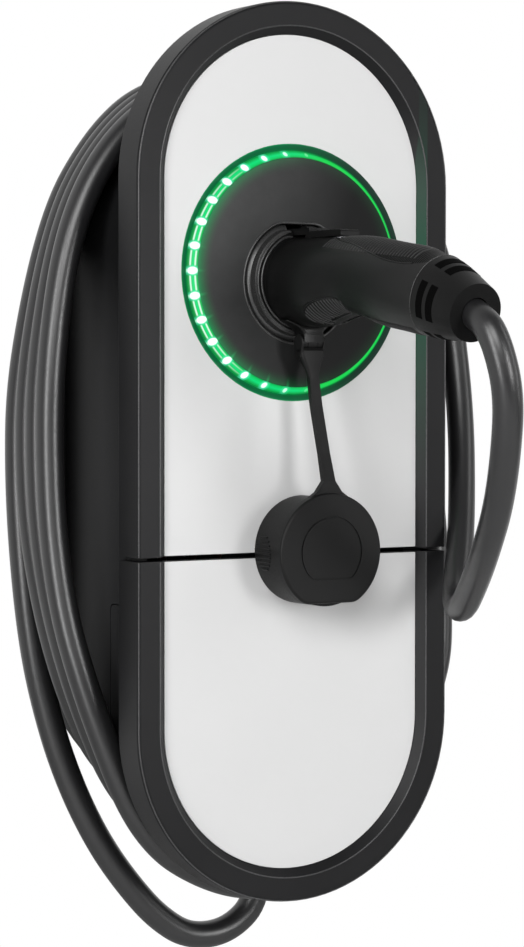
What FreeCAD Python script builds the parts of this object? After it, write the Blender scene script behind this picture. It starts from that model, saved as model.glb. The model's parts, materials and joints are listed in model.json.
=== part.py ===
import FreeCAD, Part
import math
import os

# A wall charging box for electric cars, with its cable wound round the neck of the body
# and its connector parked in the holster. Millimetres. The wall is the plane Y = 0, the
# front looks towards -Y, +X is to the right seen from the front and +Z is up. The origin
# lies on the wall plane, halfway up the body and on its centre line.

V = FreeCAD.Vector
axis_x = V(1, 0, 0)
axis_y = V(0, 1, 0)
axis_z = V(0, 0, 1)

# Body outline: a straight middle with a half circle at each end.
body_width = 185.0
arc_spacing = 277.0
body_depth = 112.0
shell_wall = 3.0
fit_gap = 0.3
slide_gap = 0.05

body_radius = body_width / 2
arc_height = arc_spacing / 2
face_y = -body_depth

# Front frame and its panels.
lip_depth = 21.5
bezel_round = 2.0
bezel_opening_margin = 16.6
chamfer_width = 4.0
panel_setback = 3.8
panel_thickness = 2.2
panel_gap = 0.44
web_thickness = 2.0
seam_rise = 86.6
cover_seam = 2.0
panel_seam = 3.0
lip_rear_round = 1.0

lip_rear_y = face_y + lip_depth
panel_y = face_y + panel_setback
panel_back_y = panel_y + panel_thickness
web_back_y = panel_back_y + web_thickness
opening_radius = body_radius - bezel_opening_margin
panel_radius = opening_radius - panel_gap
seam_z = seam_rise - arc_height

# Neck that the cable is wound round, and the wall flange behind it.
lip_overhang = 12.0
neck_slope_start = 52.5
saddle_drop = 31.0
saddle_start = 43.0
foot_drop = 38.5
flange_overhang = 10.0
flange_thickness = 4.0
wall_rim_depth = 4.5
neck_radius = body_radius - lip_overhang
saddle_arc_height = arc_height - saddle_drop
rear_arc_height = arc_height - foot_drop
slope_start_y = face_y + neck_slope_start
saddle_y = face_y + saddle_start
back_wall_y = -wall_rim_depth - flange_thickness
flange_radius = neck_radius + flange_overhang

# Front flange of the housing, the seal on it and the rib that presses the seal.
seal_width = 2.4
seal_height = 2.0
seal_step = 0.2
front_flange_radius = body_radius - shell_wall - fit_gap
front_flange_y = lip_rear_y - shell_wall
seal_outer_radius = neck_radius - seal_step

# Lower cover skirt, flush with the neck.
skirt_rise = 60.5
skirt_depth = 52.0
skirt_corner = 3.0
skirt_gap = 0.6
divider_thickness = 3.0
low_screw_inset = 8.0
low_screw_floor = 3.0
skirt_top_z = skirt_rise - arc_height
skirt_rear_y = face_y + skirt_depth
divider_top_z = seam_z + cover_seam / 2 + seal_width

# Light ring, disc and holster.
ring_drop = 45.9
panel_hole_margin = 9.51
channel_width = 3.45
ring_width = 3.8
disc_proud = 0.5
disc_thickness = 3.0
ring_depth = 5.2
channel_drop = 1.2
channel_thickness = 2.2
led_count = 30
led_size = 3.4
led_height = 1.5
board_thickness = 1.6
led_board_overlap = 6.7
cup_drop = 4.6
cup_outer_radius = 36.0
cup_floor = 2.0
cup_flange_margin = 9.05
cup_flange_setback = 4.2
cup_flange_thickness = 2.0
cup_boss_margin = 4.25
cup_boss_radius = 4.2
cup_tip_room = 2.0
mouth_radius = 32.0
mouth_rise = 30.0
mouth_corner = 13.0
mouth_depth = 5.5
step_width = 3.6
step_depth = 5.0

ring_centre_z = arc_height - ring_drop
panel_hole_radius = panel_radius - panel_hole_margin
ring_outer_radius = panel_hole_radius - channel_width
disc_radius = ring_outer_radius - ring_width
led_circle_radius = disc_radius + ring_width / 2
led_board_inner = disc_radius - led_board_overlap
cup_centre_z = ring_centre_z - cup_drop
cup_flange_radius = panel_hole_radius + cup_flange_margin
cup_boss_circle = panel_hole_radius + cup_boss_margin
mouth_top_z = cup_centre_z + mouth_rise

# Connector: a round nose in the holster and a handle that bends down at its rear.
nose_radius = 21.9
nose_wall = 3.6
nose_length = 43.0
nose_rim = 2.0
nose_gap = 0.3
carrier_length = 52.0
contact_recess = 2.0
power_contact_radius = 2.6
signal_contact_radius = 1.5
contact_wall = 0.8
contact_length = 40.0
contact_bore_depth = 8.0
boot_tilt = 16.5
boot_length = 31.0
boot_end_radius = 14.2
boot_round = 3.4
boot_slot_width = 2.3
boot_slot_depth = 1.7
boot_slot_angle = 58.0
boot_slot_rows = 2
boot_slot_pitch = 6.2
boot_slot_first = 7.5
boot_slot_count = 4
joint_reach = 128.7
joint_drop = 9.7
boot_rear_height = 19.9
boot_rear_width = 16.9
boot_swell = 0.9
grip_depth = 1.8
collar_gap = 0.6
collar_thickness = 4.6
cord_reach = 26.0

joint_y = face_y - joint_reach
joint_z = cup_centre_z - joint_drop
collar_y = face_y - collar_gap

# Thumb lever of the connector's latch, with heights over the nose's axis.
lever_width = 11.0
lever_pivot_reach = 20.0
lever_pivot_rise = 16.5
lever_arm_low_rise = 23.2
lever_arm_high_rise = 26.6
lever_hook_setback = 23.0
lever_hook_drop = 2.4
lever_pad_rise = 24.6
lever_pad_thickness = 3.0
lever_pad_reach = 50.0
lever_pin_radius = 1.5
lever_eye_radius = 3.4
lever_side_gap = 0.4
lever_play = 4.2
lever_cheek = 3.6
lever_room_depth = 6.3
spring_leaf = 0.6
spring_foot = 7.0

lever_pivot_y = face_y - lever_pivot_reach
lever_pivot_z = cup_centre_z + lever_pivot_rise
lever_arm_bottom = cup_centre_z + lever_arm_low_rise
lever_arm_top = cup_centre_z + lever_arm_high_rise
lever_hook_y = face_y + lever_hook_setback
lever_pad_top = cup_centre_z + lever_pad_rise
lever_pad_rear_y = face_y - lever_pad_reach
lever_pin_half = lever_width / 2 + lever_side_gap + lever_cheek
lever_floor_z = lever_pad_top - lever_room_depth

# Dust cap on its strap.
cap_centre_x = 4.6
cap_drop = 137.5
cap_radius = 27.8
cap_flange_radius = 30.0
cap_flange_thickness = 5.0
cap_length = 29.5
cap_wall_gap = 0.3
cap_bore_gap = 0.2
cap_floor = 6.5
cap_flat_drop = 26.0
cap_flat_corner = 9.0
cap_edge_round = 1.4
cap_mark_radius = 18.3
cap_mark_drop = 13.9
cap_mark_width = 1.0
cap_mark_depth = 0.6
strap_width = 6.0
strap_thickness = 3.0
strap_pin_reach = 12.0
strap_pin_drop = 31.5
strap_pin_radius = 1.5
strap_eye_radius = 3.5
ear_thickness = 2.6
ear_gap = 0.3

cap_centre_z = cup_centre_z - cap_drop
strap_pin_y = face_y - strap_pin_reach
strap_pin_z = cup_centre_z - strap_pin_drop

# Cable gland under the housing.
cable_diameter = 14.5
gland_thread_radius = 12.5
gland_hex_flats = 29.0
gland_hex_height = 6.0
gland_nut_height = 18.0
gland_nut_hex_height = 10.0
gland_nut_end_radius = 10.5
gland_boss_height = 24.0
gland_thread_length = 15.0
gland_washer_height = 1.5
gland_seal_height = 8.0
gland_sleeve = 9.0
gland_boss_radius = 18.0
gland_seal_radius = 10.25
gland_length = 11.0

cable_radius = cable_diameter / 2

# The cord's routes are drawn for a neck of this size and grow with the real one.
drawn_neck_radius = 80.5
drawn_top_z = 188.0
drawn_low_z = 219.0
side_scale = neck_radius / drawn_neck_radius
top_scale = (saddle_arc_height + neck_radius) / drawn_top_z
low_scale = (arc_height + neck_radius) / drawn_low_z

# Winding of the cable: four strands side by side on the left, each a little larger.
strand_count = 4
rear_strand_y = -16.5
front_strand_setback = 52.0
# Centre lines of the winding's rear and front strands, clockwise from the top as (x, z).
rear_strand_line = [
    (0, 195.6), (38, 187), (68, 164), (94, 118), (110, 58), (115, 0), (114, -55), (104, -112),
    (82, -158), (43, -184), (0, -192), (-40, -184), (-76, -158), (-98, -115), (-108.5, -58),
    (-111.5, 1), (-107.6, 52), (-91, 119), (-68, 160), (-39, 186),
]
front_strand_line = [
    (0, 195.6), (40, 187), (72, 164), (99, 118), (113, 58), (119, 0), (126.5, -90), (116, -138),
    (80, -190), (42, -216), (0, -226.6), (-38, -217.7), (-70, -191.2), (-96.4, -133), (-111.4, -73),
    (-115.4, 1), (-112.6, 62), (-100.6, 119), (-76, 160.5), (-41, 185.5),
]
coil_low_setback = 22.0
coil_low_back_y = -46.0
coil_shift_top_z = -105.0
coil_shift_end_z = -192.0
coil_tail_leaves_z = 40.0

coil_back_y = rear_strand_y + cable_radius
coil_front_y = face_y + front_strand_setback - cable_radius
coil_low_front_y = face_y + coil_low_setback

# Route of the lead, from the gland round the low loop and up the left side.
lead_route = [
    (30.0, -24.5, -218.0),
    (30.0, -24.5, -245.0),
    (12.0, -22.6, -262.5),
    (-12.0, -20.4, -264.0),
    (-31.0, -18.9, -251.5),
    (-47.5, -17.7, -233.0),
    (-63.3, -17.0, -211.5),
    (-77.0, -16.6, -186.7),
    (-88.1, -16.4, -160.5),
    (-96.3, -16.4, -134.3),
    (-102.6, -16.5, -108.1),
    (-107.4, -16.5, -75.0),
    (-110.9, -16.5, -34.0),
    (-111.4, -16.5, -5.0),
]

# Route of the tail, from the top of the winding down the right side of the neck, as x,
# distance behind the face and z.
tail_beside = [
    (9.2, 51.5, 195.8),
    (44.6, 51.5, 189.2),
    (76.6, 51.1, 171.6),
    (100.8, 50.2, 145.5),
    (115.4, 47.0, 113.0),
    (122.2, 41.9, 78.9),
    (122.6, 34.1, 43.9),
    (118.4, 23.4, 11.1),
    (109.0, 9.0, -20.4),
]
# The rest of it, in front of the face and up to the boot, as x, distance behind the face
# and height over the nose's axis.
tail_ahead = [
    (96.8, -7.7, -135.2),
    (79.0, -28.0, -165.5),
    (63.5, -56.6, -167.7),
    (49.5, -87.9, -150.4),
    (36.6, -115.1, -133.8),
    (26.1, -140.5, -110.9),
    (16.4, -160.2, -84.3),
    (8.2, -174.0, -56.0),
    (2.4, -172.6, -32.4),
    (0.0, -164.3, -20.3),
    (0.0, -147.9, -15.4),
]

gland_x = lead_route[0][0] * side_scale
gland_y = lead_route[0][1]
gland_end_z = lead_route[0][2] * low_scale - gland_length
gland_hex_z = gland_end_z + gland_nut_height
gland_boss_z = gland_hex_z + gland_hex_height
gland_top_z = gland_boss_z + gland_boss_height

# Wall bracket.
bracket_thickness = 2.0
bracket_half_width = 55.0
bracket_half_height = 150.0
bracket_corner = 12.0
bracket_window_half_width = 32.0
bracket_window_low_z = -132.0
bracket_window_high_z = 60.0
wall_hole_spacing_x = 80.0
wall_hole_spacing_z = 250.0
wall_hole_radius = 3.2
hook_width = 26.0
hook_drop = 12.0
hook_x = 34.0
hook_z = 142.0
bracket_screw_z = -140.0
bracket_boss_radius = 6.0

# Fasteners: shank and head radii and head height.
screw_shank_radius = 1.9
screw_head_radius = 3.6
screw_head_height = 2.4
socket_radius = 1.3
socket_depth = 1.4
large_shank_radius = 2.4
large_head_radius = 4.6

# Electronics in the upper compartment, wiring parts in the lower one.
board_margin = 17.5
board_low_gap = 10.5
board_high_drop = 20.5
component_room = 31.0
board_corner = 4.0
board_screw_bite = 0.35
standoff_radius = 4.0
standoff_inset = 8.0
relay_width = 30.0
relay_height = 34.0
relay_depth = 22.0
relay_gap = 7.2
transformer_size = 30.0
transformer_depth = 21.0
transformer_drop = 14.0
winding_inset = 6.0
winding_overhang = 2.0
capacitor_count = 3
capacitor_radius = 6.0
capacitor_height = 20.0
capacitor_gap = 2.0
capacitor_inset = 14.0
capacitor_rise = 82.0
radio_length = 26.0
radio_height = 18.0
radio_thickness = 3.2
radio_side = 4.0
radio_rise = 46.0
shield_length = 16.0
shield_thickness = 2.2
shield_inset = 2.0
toroid_outer = 15.0
toroid_inner = 8.5
toroid_height = 12.0
toroid_inset = 14.0
toroid_rise = 52.0
toroid_foot_thickness = 3.0
terminal_pitch = 15.0
terminal_count = 3
terminal_depth = 24.0
terminal_height = 32.0
terminal_drop = 46.1
terminal_centre_x = -12.0
terminal_screw_rise = 10.0
terminal_well = 8.0
terminal_well_radius = 3.6
terminal_entry_radius = 3.0
terminal_screw_radius = 3.4
terminal_screw_height = 3.0
screw_slot_width = 1.0
screw_slot_depth = 1.4
wire_radius = 2.2
wire_inset = 12.0
wire_rise = 4.0
wire_end = 6.0
wire_hole_places = [-31.0, -8.0, 8.0]
earth_bar_left = 22.0
earth_bar_length = 38.0
earth_bar_thickness = 8.0
earth_bar_height = 10.0
earth_bar_low_z = -142.0
earth_hole_count = 4
earth_hole_radius = 2.2
earth_hole_inset = 5.0
earth_hole_depth = 5.0
supply_x = 12.0
supply_z = -114.0
supply_bore_radius = 9.0
supply_hole_radius = 12.5
supply_lip_radius = 15.0
supply_lip_thickness = 2.5

cup_floor_y = face_y + nose_length + cup_tip_room
board_half_width = neck_radius - shell_wall - board_margin
board_low_z = divider_top_z + board_low_gap
board_high_z = arc_height - board_high_drop
board_y = cup_floor_y + cup_floor + component_room
standoff_length = back_wall_y - board_y - board_thickness
terminal_z = seam_z - terminal_drop
terminal_left = terminal_centre_x - terminal_pitch * terminal_count / 2
wire_y = back_wall_y - wire_inset

# Places that follow from more than one of the groups above.
low_screw_y = skirt_rear_y - low_screw_inset
low_screw_seat_z = -arc_height - neck_radius + screw_head_height + fit_gap
disc_front_y = face_y - disc_proud
disc_back_y = disc_front_y + disc_thickness
cup_flange_front_y = web_back_y + cup_flange_setback
led_board_y = cup_flange_front_y - board_thickness
led_front_y = led_board_y - led_height
channel_back_y = panel_y + channel_drop + channel_thickness
carrier_radius = nose_radius - nose_wall - slide_gap * 2
carrier_front_y = face_y + nose_length - nose_rim - contact_recess
carrier_rear_y = carrier_front_y - carrier_length

press_slack = 0.02
oval_points = 16
far = 400.0


def box(x_low, x_high, y_low, y_high, z_low, z_high):
    size = V(x_high - x_low, y_high - y_low, z_high - z_low)
    return Part.makeBox(size.x, size.y, size.z, V(x_low, y_low, z_low))


def rod(radius, start, end):
    along = end - start
    return Part.makeCylinder(radius, along.Length, start, along)


def tube(outer, inner, start, end):
    return rod(outer, start, end).cut(rod(inner, start, end))


def joined(shapes):
    whole = shapes[0].multiFuse(shapes[1:]) if len(shapes) > 1 else shapes[0]
    return whole.removeSplitter()


def group(shapes):
    return Part.makeCompound(shapes)


def stadium_wire(radius, arc_z, y):
    left_low = V(-radius, y, -arc_z)
    right_low = V(radius, y, -arc_z)
    right_high = V(radius, y, arc_z)
    left_high = V(-radius, y, arc_z)
    edges = [
        Part.Arc(left_low, V(0, y, -arc_z - radius), right_low).toShape(),
        Part.LineSegment(right_low, right_high).toShape(),
        Part.Arc(right_high, V(0, y, arc_z + radius), left_high).toShape(),
        Part.LineSegment(left_high, left_low).toShape(),
    ]
    return Part.Wire(edges)


def stadium_block(radius, y_front, y_back, arc_z=arc_height):
    face = Part.Face(stadium_wire(radius, arc_z, y_front))
    return face.extrude(V(0, y_back - y_front, 0))


def stadium_ring(outer, inner, y_front, y_back):
    return stadium_block(outer, y_front, y_back).cut(stadium_block(inner, y_front, y_back))


def above(z):
    return box(-far, far, -far, far, z, far)


def below(z):
    return box(-far, far, -far, far, -far, z)


def ring_point(radius, angle, y, centre_z=ring_centre_z):
    turn = math.radians(angle)
    return V(radius * math.cos(turn), y, centre_z + radius * math.sin(turn))


# A solid turned about the light ring's axis, from (radius, y) corners.
def turned_on_ring(corners):
    points = [V(radius, y, ring_centre_z) for radius, y in corners]
    face = Part.Face(Part.makePolygon(points + points[:1]))
    return face.revolve(V(0, 0, ring_centre_z), axis_y, 360)


# Outline of a round opening whose top is cut off flat, with rounded upper corners.
def mouth_outline(radius, top_z, corner, y):
    inner = radius - corner
    rise = top_z - corner - cup_centre_z
    reach = math.sqrt(inner * inner - rise * rise)
    spread = math.atan2(rise, reach)
    side = V(radius * math.cos(spread), y, cup_centre_z + radius * math.sin(spread))
    other_side = V(-side.x, y, side.z)
    half = (math.pi / 2 + spread) / 2
    bend = V(reach + corner * math.cos(half), y, top_z - corner + corner * math.sin(half))
    other_bend = V(-bend.x, y, bend.z)
    top = V(reach, y, top_z)
    other_top = V(-reach, y, top_z)
    return Part.Wire([
        Part.Arc(other_side, V(0, y, cup_centre_z - radius), side).toShape(),
        Part.Arc(side, bend, top).toShape(),
        Part.LineSegment(top, other_top).toShape(),
        Part.Arc(other_top, other_bend, other_side).toShape(),
    ])


def mouth_block(shrink, y_front, y_back):
    outline = mouth_outline(mouth_radius - shrink, mouth_top_z - shrink, mouth_corner - shrink / 2, y_front)
    return Part.Face(outline).extrude(V(0, y_back - y_front, 0))


# A pan head screw whose head sits on `seat` and whose shank points along `along`.
def screw(seat, along, shank_length, shank_radius, head_radius, head_height):
    way = V(along.x, along.y, along.z).normalize()
    head = rod(head_radius, seat - way * head_height, seat)
    shank = rod(shank_radius, seat, seat + way * shank_length)
    socket = rod(socket_radius, seat - way * head_height, seat - way * (head_height - socket_depth))
    return joined([head, shank]).cut(socket)


# The neck, a straight part behind the lip and a part whose ends slope in to the wall.
def neck_block(grow, y_back=back_wall_y):
    straight = stadium_block(neck_radius + grow, lip_rear_y, slope_start_y)
    front = stadium_wire(neck_radius + grow, arc_height, slope_start_y)
    back = stadium_wire(neck_radius + grow, rear_arc_height, y_back)
    sloped = Part.makeLoft([front, back], True, True)
    foot = joined([straight, sloped]).common(below(0))
    step_y = saddle_y + grow
    collar = stadium_block(neck_radius + grow, lip_rear_y, step_y)
    saddle = stadium_block(neck_radius + grow, step_y, y_back, saddle_arc_height)
    head = joined([collar, saddle]).common(above(0))
    return joined([foot, head])


# The room inside the neck, which follows its outside at the wall thickness.
def neck_cavity():
    radius = neck_radius - shell_wall
    front = stadium_block(radius, face_y, slope_start_y)
    slope = Part.makeLoft([stadium_wire(radius, arc_height, slope_start_y),
                           stadium_wire(radius, rear_arc_height, back_wall_y)], True, True)
    foot = front.fuse(slope).common(below(0))
    step_y = saddle_y - shell_wall
    collar = stadium_block(radius, face_y, step_y)
    saddle = stadium_block(radius, face_y, back_wall_y, saddle_arc_height)
    head = collar.fuse(saddle).common(above(0))
    return foot.fuse(head)


def cover_screw_places():
    radius = neck_radius + screw_head_radius + fit_gap
    places = []
    for angle in (28.0, 90.0, 152.0):
        turn = math.radians(angle)
        places.append(V(radius * math.cos(turn), 0, arc_height + radius * math.sin(turn)))
    for side in (-1, 1):
        places.append(V(side * radius, 0, seam_z + 24.0))
    return places


def cup_screw_places(y):
    return [ring_point(cup_boss_circle, angle, y) for angle in (42.0, 138.0, 222.0, 318.0)]


def board_screw_places(y):
    x = board_half_width - standoff_inset
    low = board_low_z + standoff_inset
    high = board_high_z - standoff_inset
    return [V(-x, y, low), V(x, y, low), V(-x, y, high), V(x, y, high)]


def wall_hole_places(y):
    x = wall_hole_spacing_x / 2
    z = wall_hole_spacing_z / 2
    return [V(-x, y, -z), V(x, y, -z), V(-x, y, z), V(x, y, z)]


def rounded_plate(half_width, low_z, high_z, corner, y_front, y_back):
    plate = box(-half_width, half_width, y_front, y_back, low_z, high_z)
    upright = [edge for edge in plate.Edges if abs(edge.tangentAt(edge.FirstParameter).y) > 0.9]
    return plate.makeFillet(corner, upright)


def make_wall_bracket():
    plate = rounded_plate(bracket_half_width, -bracket_half_height, bracket_half_height, bracket_corner,
                          -bracket_thickness, 0)
    window = rounded_plate(bracket_window_half_width, bracket_window_low_z, bracket_window_high_z,
                           bracket_corner, -bracket_thickness, 0)
    tongue_y = -bracket_thickness - bracket_thickness - slide_gap * 4
    shapes = [plate.cut(window)]
    for side in (-1, 1):
        low_x = side * hook_x - hook_width / 2
        high_x = side * hook_x + hook_width / 2
        shapes.append(box(low_x, high_x, tongue_y, -bracket_thickness,
                          hook_z - hook_drop - bracket_thickness,
                          hook_z - hook_drop))
        shapes.append(box(low_x, high_x, tongue_y, tongue_y + bracket_thickness, hook_z - hook_drop, hook_z))
    boss_top = V(0, -wall_rim_depth, bracket_screw_z)
    shapes.append(rod(bracket_boss_radius, boss_top, V(0, -bracket_thickness, bracket_screw_z)))
    bracket = joined(shapes)
    slot_y = tongue_y + bracket_thickness
    for side in (-1, 1):
        low_x = side * hook_x - hook_width / 2 - fit_gap
        high_x = side * hook_x + hook_width / 2 + fit_gap
        bracket = bracket.cut(box(low_x, high_x, slot_y, 0, hook_z - hook_drop, hook_z + hook_drop))
    holes = [rod(wall_hole_radius, place, place + axis_y * bracket_thickness)
             for place in wall_hole_places(-bracket_thickness)]
    holes.append(rod(large_shank_radius + press_slack, boss_top, V(0, 0, bracket_screw_z)))
    return bracket.cut(group(holes))


# The space of the lower cover's skirt, whose upper rear corner is round.
def skirt_room(grow):
    back_y = skirt_rear_y + grow
    top_z = skirt_top_z + grow
    corner_y = back_y - skirt_corner
    corner_z = top_z - skirt_corner
    return joined([box(-far, far, face_y, corner_y, -far, top_z), box(-far, far, face_y, back_y, -far,
                                                                      corner_z),
                   rod(skirt_corner, V(-far, corner_y, corner_z), V(far, corner_y, corner_z))])


def make_rear_housing():
    flange = stadium_block(flange_radius, back_wall_y, -wall_rim_depth, rear_arc_height)
    rim_outer = stadium_block(flange_radius, -wall_rim_depth, -fit_gap, rear_arc_height)
    rim_inner = stadium_block(flange_radius - shell_wall, -wall_rim_depth, -fit_gap, rear_arc_height)
    front_flange = stadium_block(front_flange_radius, front_flange_y, lip_rear_y)
    front_flange = front_flange.common(above(skirt_top_z + skirt_gap))
    bore_radius = neck_radius - shell_wall
    boss = rod(gland_boss_radius, gland_spot(gland_boss_z), gland_spot(gland_top_z))
    boss = boss.common(box(-far, far, -far, back_wall_y, -far, far))
    divider = stadium_block(bore_radius + shell_wall / 2, front_flange_y, back_wall_y)
    divider = divider.common(box(-far, far, -far, far, divider_top_z - divider_thickness, divider_top_z))
    shell = joined([neck_block(0), front_flange])
    shell = shell.cut(neck_cavity())
    housing = joined([shell, flange, rim_outer.cut(rim_inner), boss, divider])
    # The lower cover's skirt takes the place of the neck's front edge.
    housing = housing.cut(skirt_room(skirt_gap))
    additions = []
    # Lugs that hang on the bracket's tongues.
    lug_back = -bracket_thickness + slide_gap * 2
    for side in (-1, 1):
        low_x = side * hook_x - hook_width / 2 + fit_gap
        high_x = side * hook_x + hook_width / 2 - fit_gap
        additions.append(box(low_x, high_x, -wall_rim_depth, -slide_gap, hook_z + slide_gap,
                             hook_z + bracket_thickness * 2))
        additions.append(box(low_x, high_x, lug_back, -slide_gap, hook_z - hook_drop / 2,
                             hook_z + slide_gap))
    # Posts under the main board.
    for place in board_screw_places(back_wall_y):
        additions.append(rod(standoff_radius, V(place.x, board_y + board_thickness, place.z), place))
    # Tongue that the lower cover's screw goes into.
    tongue_low = low_screw_seat_z + low_screw_floor + slide_gap
    tongue_high = tongue_low + 3 * shell_wall
    additions.append(box(-screw_head_radius * 2, screw_head_radius * 2, low_screw_y - screw_head_radius,
                         slope_start_y + 2 * shell_wall, tongue_low, tongue_high))
    housing = joined([housing] + additions)
    cuts = [rod(large_shank_radius + fit_gap, V(0, back_wall_y, bracket_screw_z),
                V(0, -wall_rim_depth, bracket_screw_z)),
            rod(supply_hole_radius, V(supply_x, back_wall_y, supply_z), V(supply_x, -wall_rim_depth,
                                                                          supply_z)),
            rod(gland_thread_radius + slide_gap, gland_spot(gland_boss_z),
                gland_spot(gland_top_z + 2 * shell_wall)),
            rod(screw_shank_radius + press_slack, V(0, low_screw_y, tongue_low),
                V(0, low_screw_y, tongue_high))]
    for place in board_screw_places(0):
        cuts.append(rod(screw_shank_radius + press_slack, V(place.x, board_y + board_thickness, place.z),
                        V(place.x, back_wall_y - shell_wall, place.z)))
    for place in cover_screw_places():
        cuts.append(rod(screw_shank_radius + fit_gap, V(place.x, front_flange_y, place.z),
                        V(place.x, lip_rear_y, place.z)))
    for x in wire_hole_places:
        cuts.append(rod(wire_radius + fit_gap, V(x, wire_y, divider_top_z - divider_thickness),
                        V(x, wire_y, divider_top_z)))
    return housing.cut(group(cuts))


# The frame of the front: lip, rounded bezel, chamfered opening and the web behind the panels.
def front_frame():
    block = stadium_block(body_radius, face_y, lip_rear_y)
    front_edges = [edge for edge in block.Edges if edge.BoundBox.YMax < face_y + slide_gap]
    block = block.makeFillet(bezel_round, front_edges)
    rear_edges = [edge for edge in block.Edges if edge.BoundBox.YMin > lip_rear_y - slide_gap]
    block = block.makeFillet(lip_rear_round, rear_edges)
    hollow = stadium_block(body_radius - shell_wall, web_back_y, lip_rear_y)
    recess = stadium_block(opening_radius, panel_y, panel_back_y)
    opening = Part.makeLoft([stadium_wire(opening_radius + chamfer_width, arc_height, face_y),
                             stadium_wire(opening_radius, arc_height, panel_y)], True, True)
    return block.cut(joined([hollow, recess, opening]))


def make_upper_cover():
    cover = front_frame().common(above(seam_z + cover_seam / 2))
    bosses = [rod(screw_head_radius, V(place.x, web_back_y, place.z), V(place.x, front_flange_y, place.z))
              for place in cover_screw_places()]
    bosses += [rod(cup_boss_radius, place, V(place.x, cup_flange_front_y, place.z))
               for place in cup_screw_places(web_back_y)]
    cover = joined([cover, seal_shape(web_back_y, front_flange_y - seal_height)] + bosses)
    pilot_depth = 2 * shell_wall
    cuts = [rod(panel_hole_radius, V(0, face_y, ring_centre_z), V(0, web_back_y, ring_centre_z))]
    cuts += [rod(screw_shank_radius + press_slack, V(place.x, front_flange_y - pilot_depth, place.z),
                 V(place.x, front_flange_y, place.z)) for place in cover_screw_places()]
    cuts += [rod(screw_shank_radius + press_slack, V(place.x, panel_back_y + fit_gap, place.z),
                 V(place.x, cup_flange_front_y, place.z)) for place in cup_screw_places(0)]
    return cover.cut(group(cuts))


def make_lower_cover():
    cover = front_frame().common(below(seam_z - cover_seam / 2))
    # Rear web of the lip and the skirt that lies flush with the neck.
    web = stadium_block(body_radius - shell_wall / 2, front_flange_y, lip_rear_y)
    skirt = stadium_block(neck_radius, lip_rear_y, skirt_rear_y)
    bore = stadium_block(neck_radius - shell_wall, front_flange_y, skirt_rear_y)
    sloped = neck_block(0)
    skirt = skirt.common(sloped)
    rear = joined([web, skirt]).cut(bore).common(skirt_room(0))
    cover = joined([cover, rear])
    low = V(0, low_screw_y, low_screw_seat_z - 2 * shell_wall)
    boss_top = V(0, low_screw_y, low_screw_seat_z + low_screw_floor)
    boss = rod(screw_head_radius + shell_wall, low, boss_top).common(stadium_block(neck_radius, face_y, 0))
    hole = rod(screw_shank_radius + fit_gap, low, boss_top)
    seat = rod(screw_head_radius + fit_gap, low, V(0, low_screw_y, low_screw_seat_z))
    return joined([cover, boss]).cut(joined([hole, seat]))


def panel_sheet():
    return stadium_block(panel_radius, panel_y, panel_back_y)


def make_upper_panel():
    panel = panel_sheet().common(above(seam_z + panel_seam / 2))
    return panel.cut(rod(panel_hole_radius, V(0, panel_y, ring_centre_z), V(0, panel_back_y, ring_centre_z)))


def make_lower_panel():
    return panel_sheet().common(below(seam_z - panel_seam / 2))


# Outline shared by the seal and the rib that presses it: round the top, straight along the divider.
def seal_shape(y_front, y_back):
    ring = stadium_ring(seal_outer_radius, seal_outer_radius - seal_width, y_front, y_back)
    ring = ring.common(above(divider_top_z - seal_width))
    bar = stadium_block(seal_outer_radius, y_front, y_back)
    bar = bar.common(box(-far, far, -far, far, divider_top_z - seal_width, divider_top_z))
    return joined([ring, bar])


def make_cover_seal():
    return seal_shape(front_flange_y - seal_height, front_flange_y)


def make_cover_screws():
    return group([screw(V(place.x, lip_rear_y, place.z), -axis_y, shell_wall + 2 * shell_wall - fit_gap,
                        screw_shank_radius, screw_head_radius - fit_gap, screw_head_height)
                  for place in cover_screw_places()])


def make_lower_cover_screw():
    return screw(V(0, low_screw_y, low_screw_seat_z), axis_z, low_screw_floor + 3 * shell_wall,
                 screw_shank_radius, screw_head_radius, screw_head_height)


def make_holster_disc():
    disc = rod(disc_radius, V(0, disc_front_y, ring_centre_z), V(0, disc_back_y, ring_centre_z))
    rim = [edge for edge in disc.Edges if edge.BoundBox.YMax < disc_front_y + slide_gap]
    disc = disc.makeFillet(disc_proud, rim)
    return disc.cut(mouth_block(0, disc_front_y, disc_back_y))


def make_light_ring():
    inner = disc_radius + slide_gap
    return turned_on_ring([
        (inner, disc_front_y + disc_proud / 2),
        (ring_outer_radius, panel_y),
        (ring_outer_radius, panel_y + ring_depth),
        (inner, panel_y + ring_depth),
    ])


def make_ring_channel():
    inner = ring_outer_radius + slide_gap
    outer = panel_hole_radius - slide_gap
    return turned_on_ring([
        (outer, panel_y),
        (inner, panel_y + channel_drop),
        (inner, channel_back_y),
        (outer, channel_back_y),
    ])


def make_led_board():
    centre_front = V(0, led_board_y, ring_centre_z)
    centre_back = V(0, cup_flange_front_y, ring_centre_z)
    return tube(panel_hole_radius - fit_gap, led_board_inner, centre_front, centre_back)


def make_leds():
    leds = []
    for index in range(led_count):
        chip = box(-led_size / 2, led_size / 2, led_front_y, led_board_y, led_circle_radius - led_size / 2,
                   led_circle_radius + led_size / 2)
        chip.rotate(V(0, 0, 0), axis_y, 360.0 / led_count * index + 90)
        chip.translate(V(0, 0, ring_centre_z))
        leds.append(chip)
    return group(leds)


def latch_pocket():
    half = lever_width / 2 + 3 * lever_side_gap
    return box(-half, half, disc_back_y, lever_hook_y + lever_play, cup_centre_z + nose_radius - 1,
               lever_arm_top + lever_play + 2)


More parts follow.
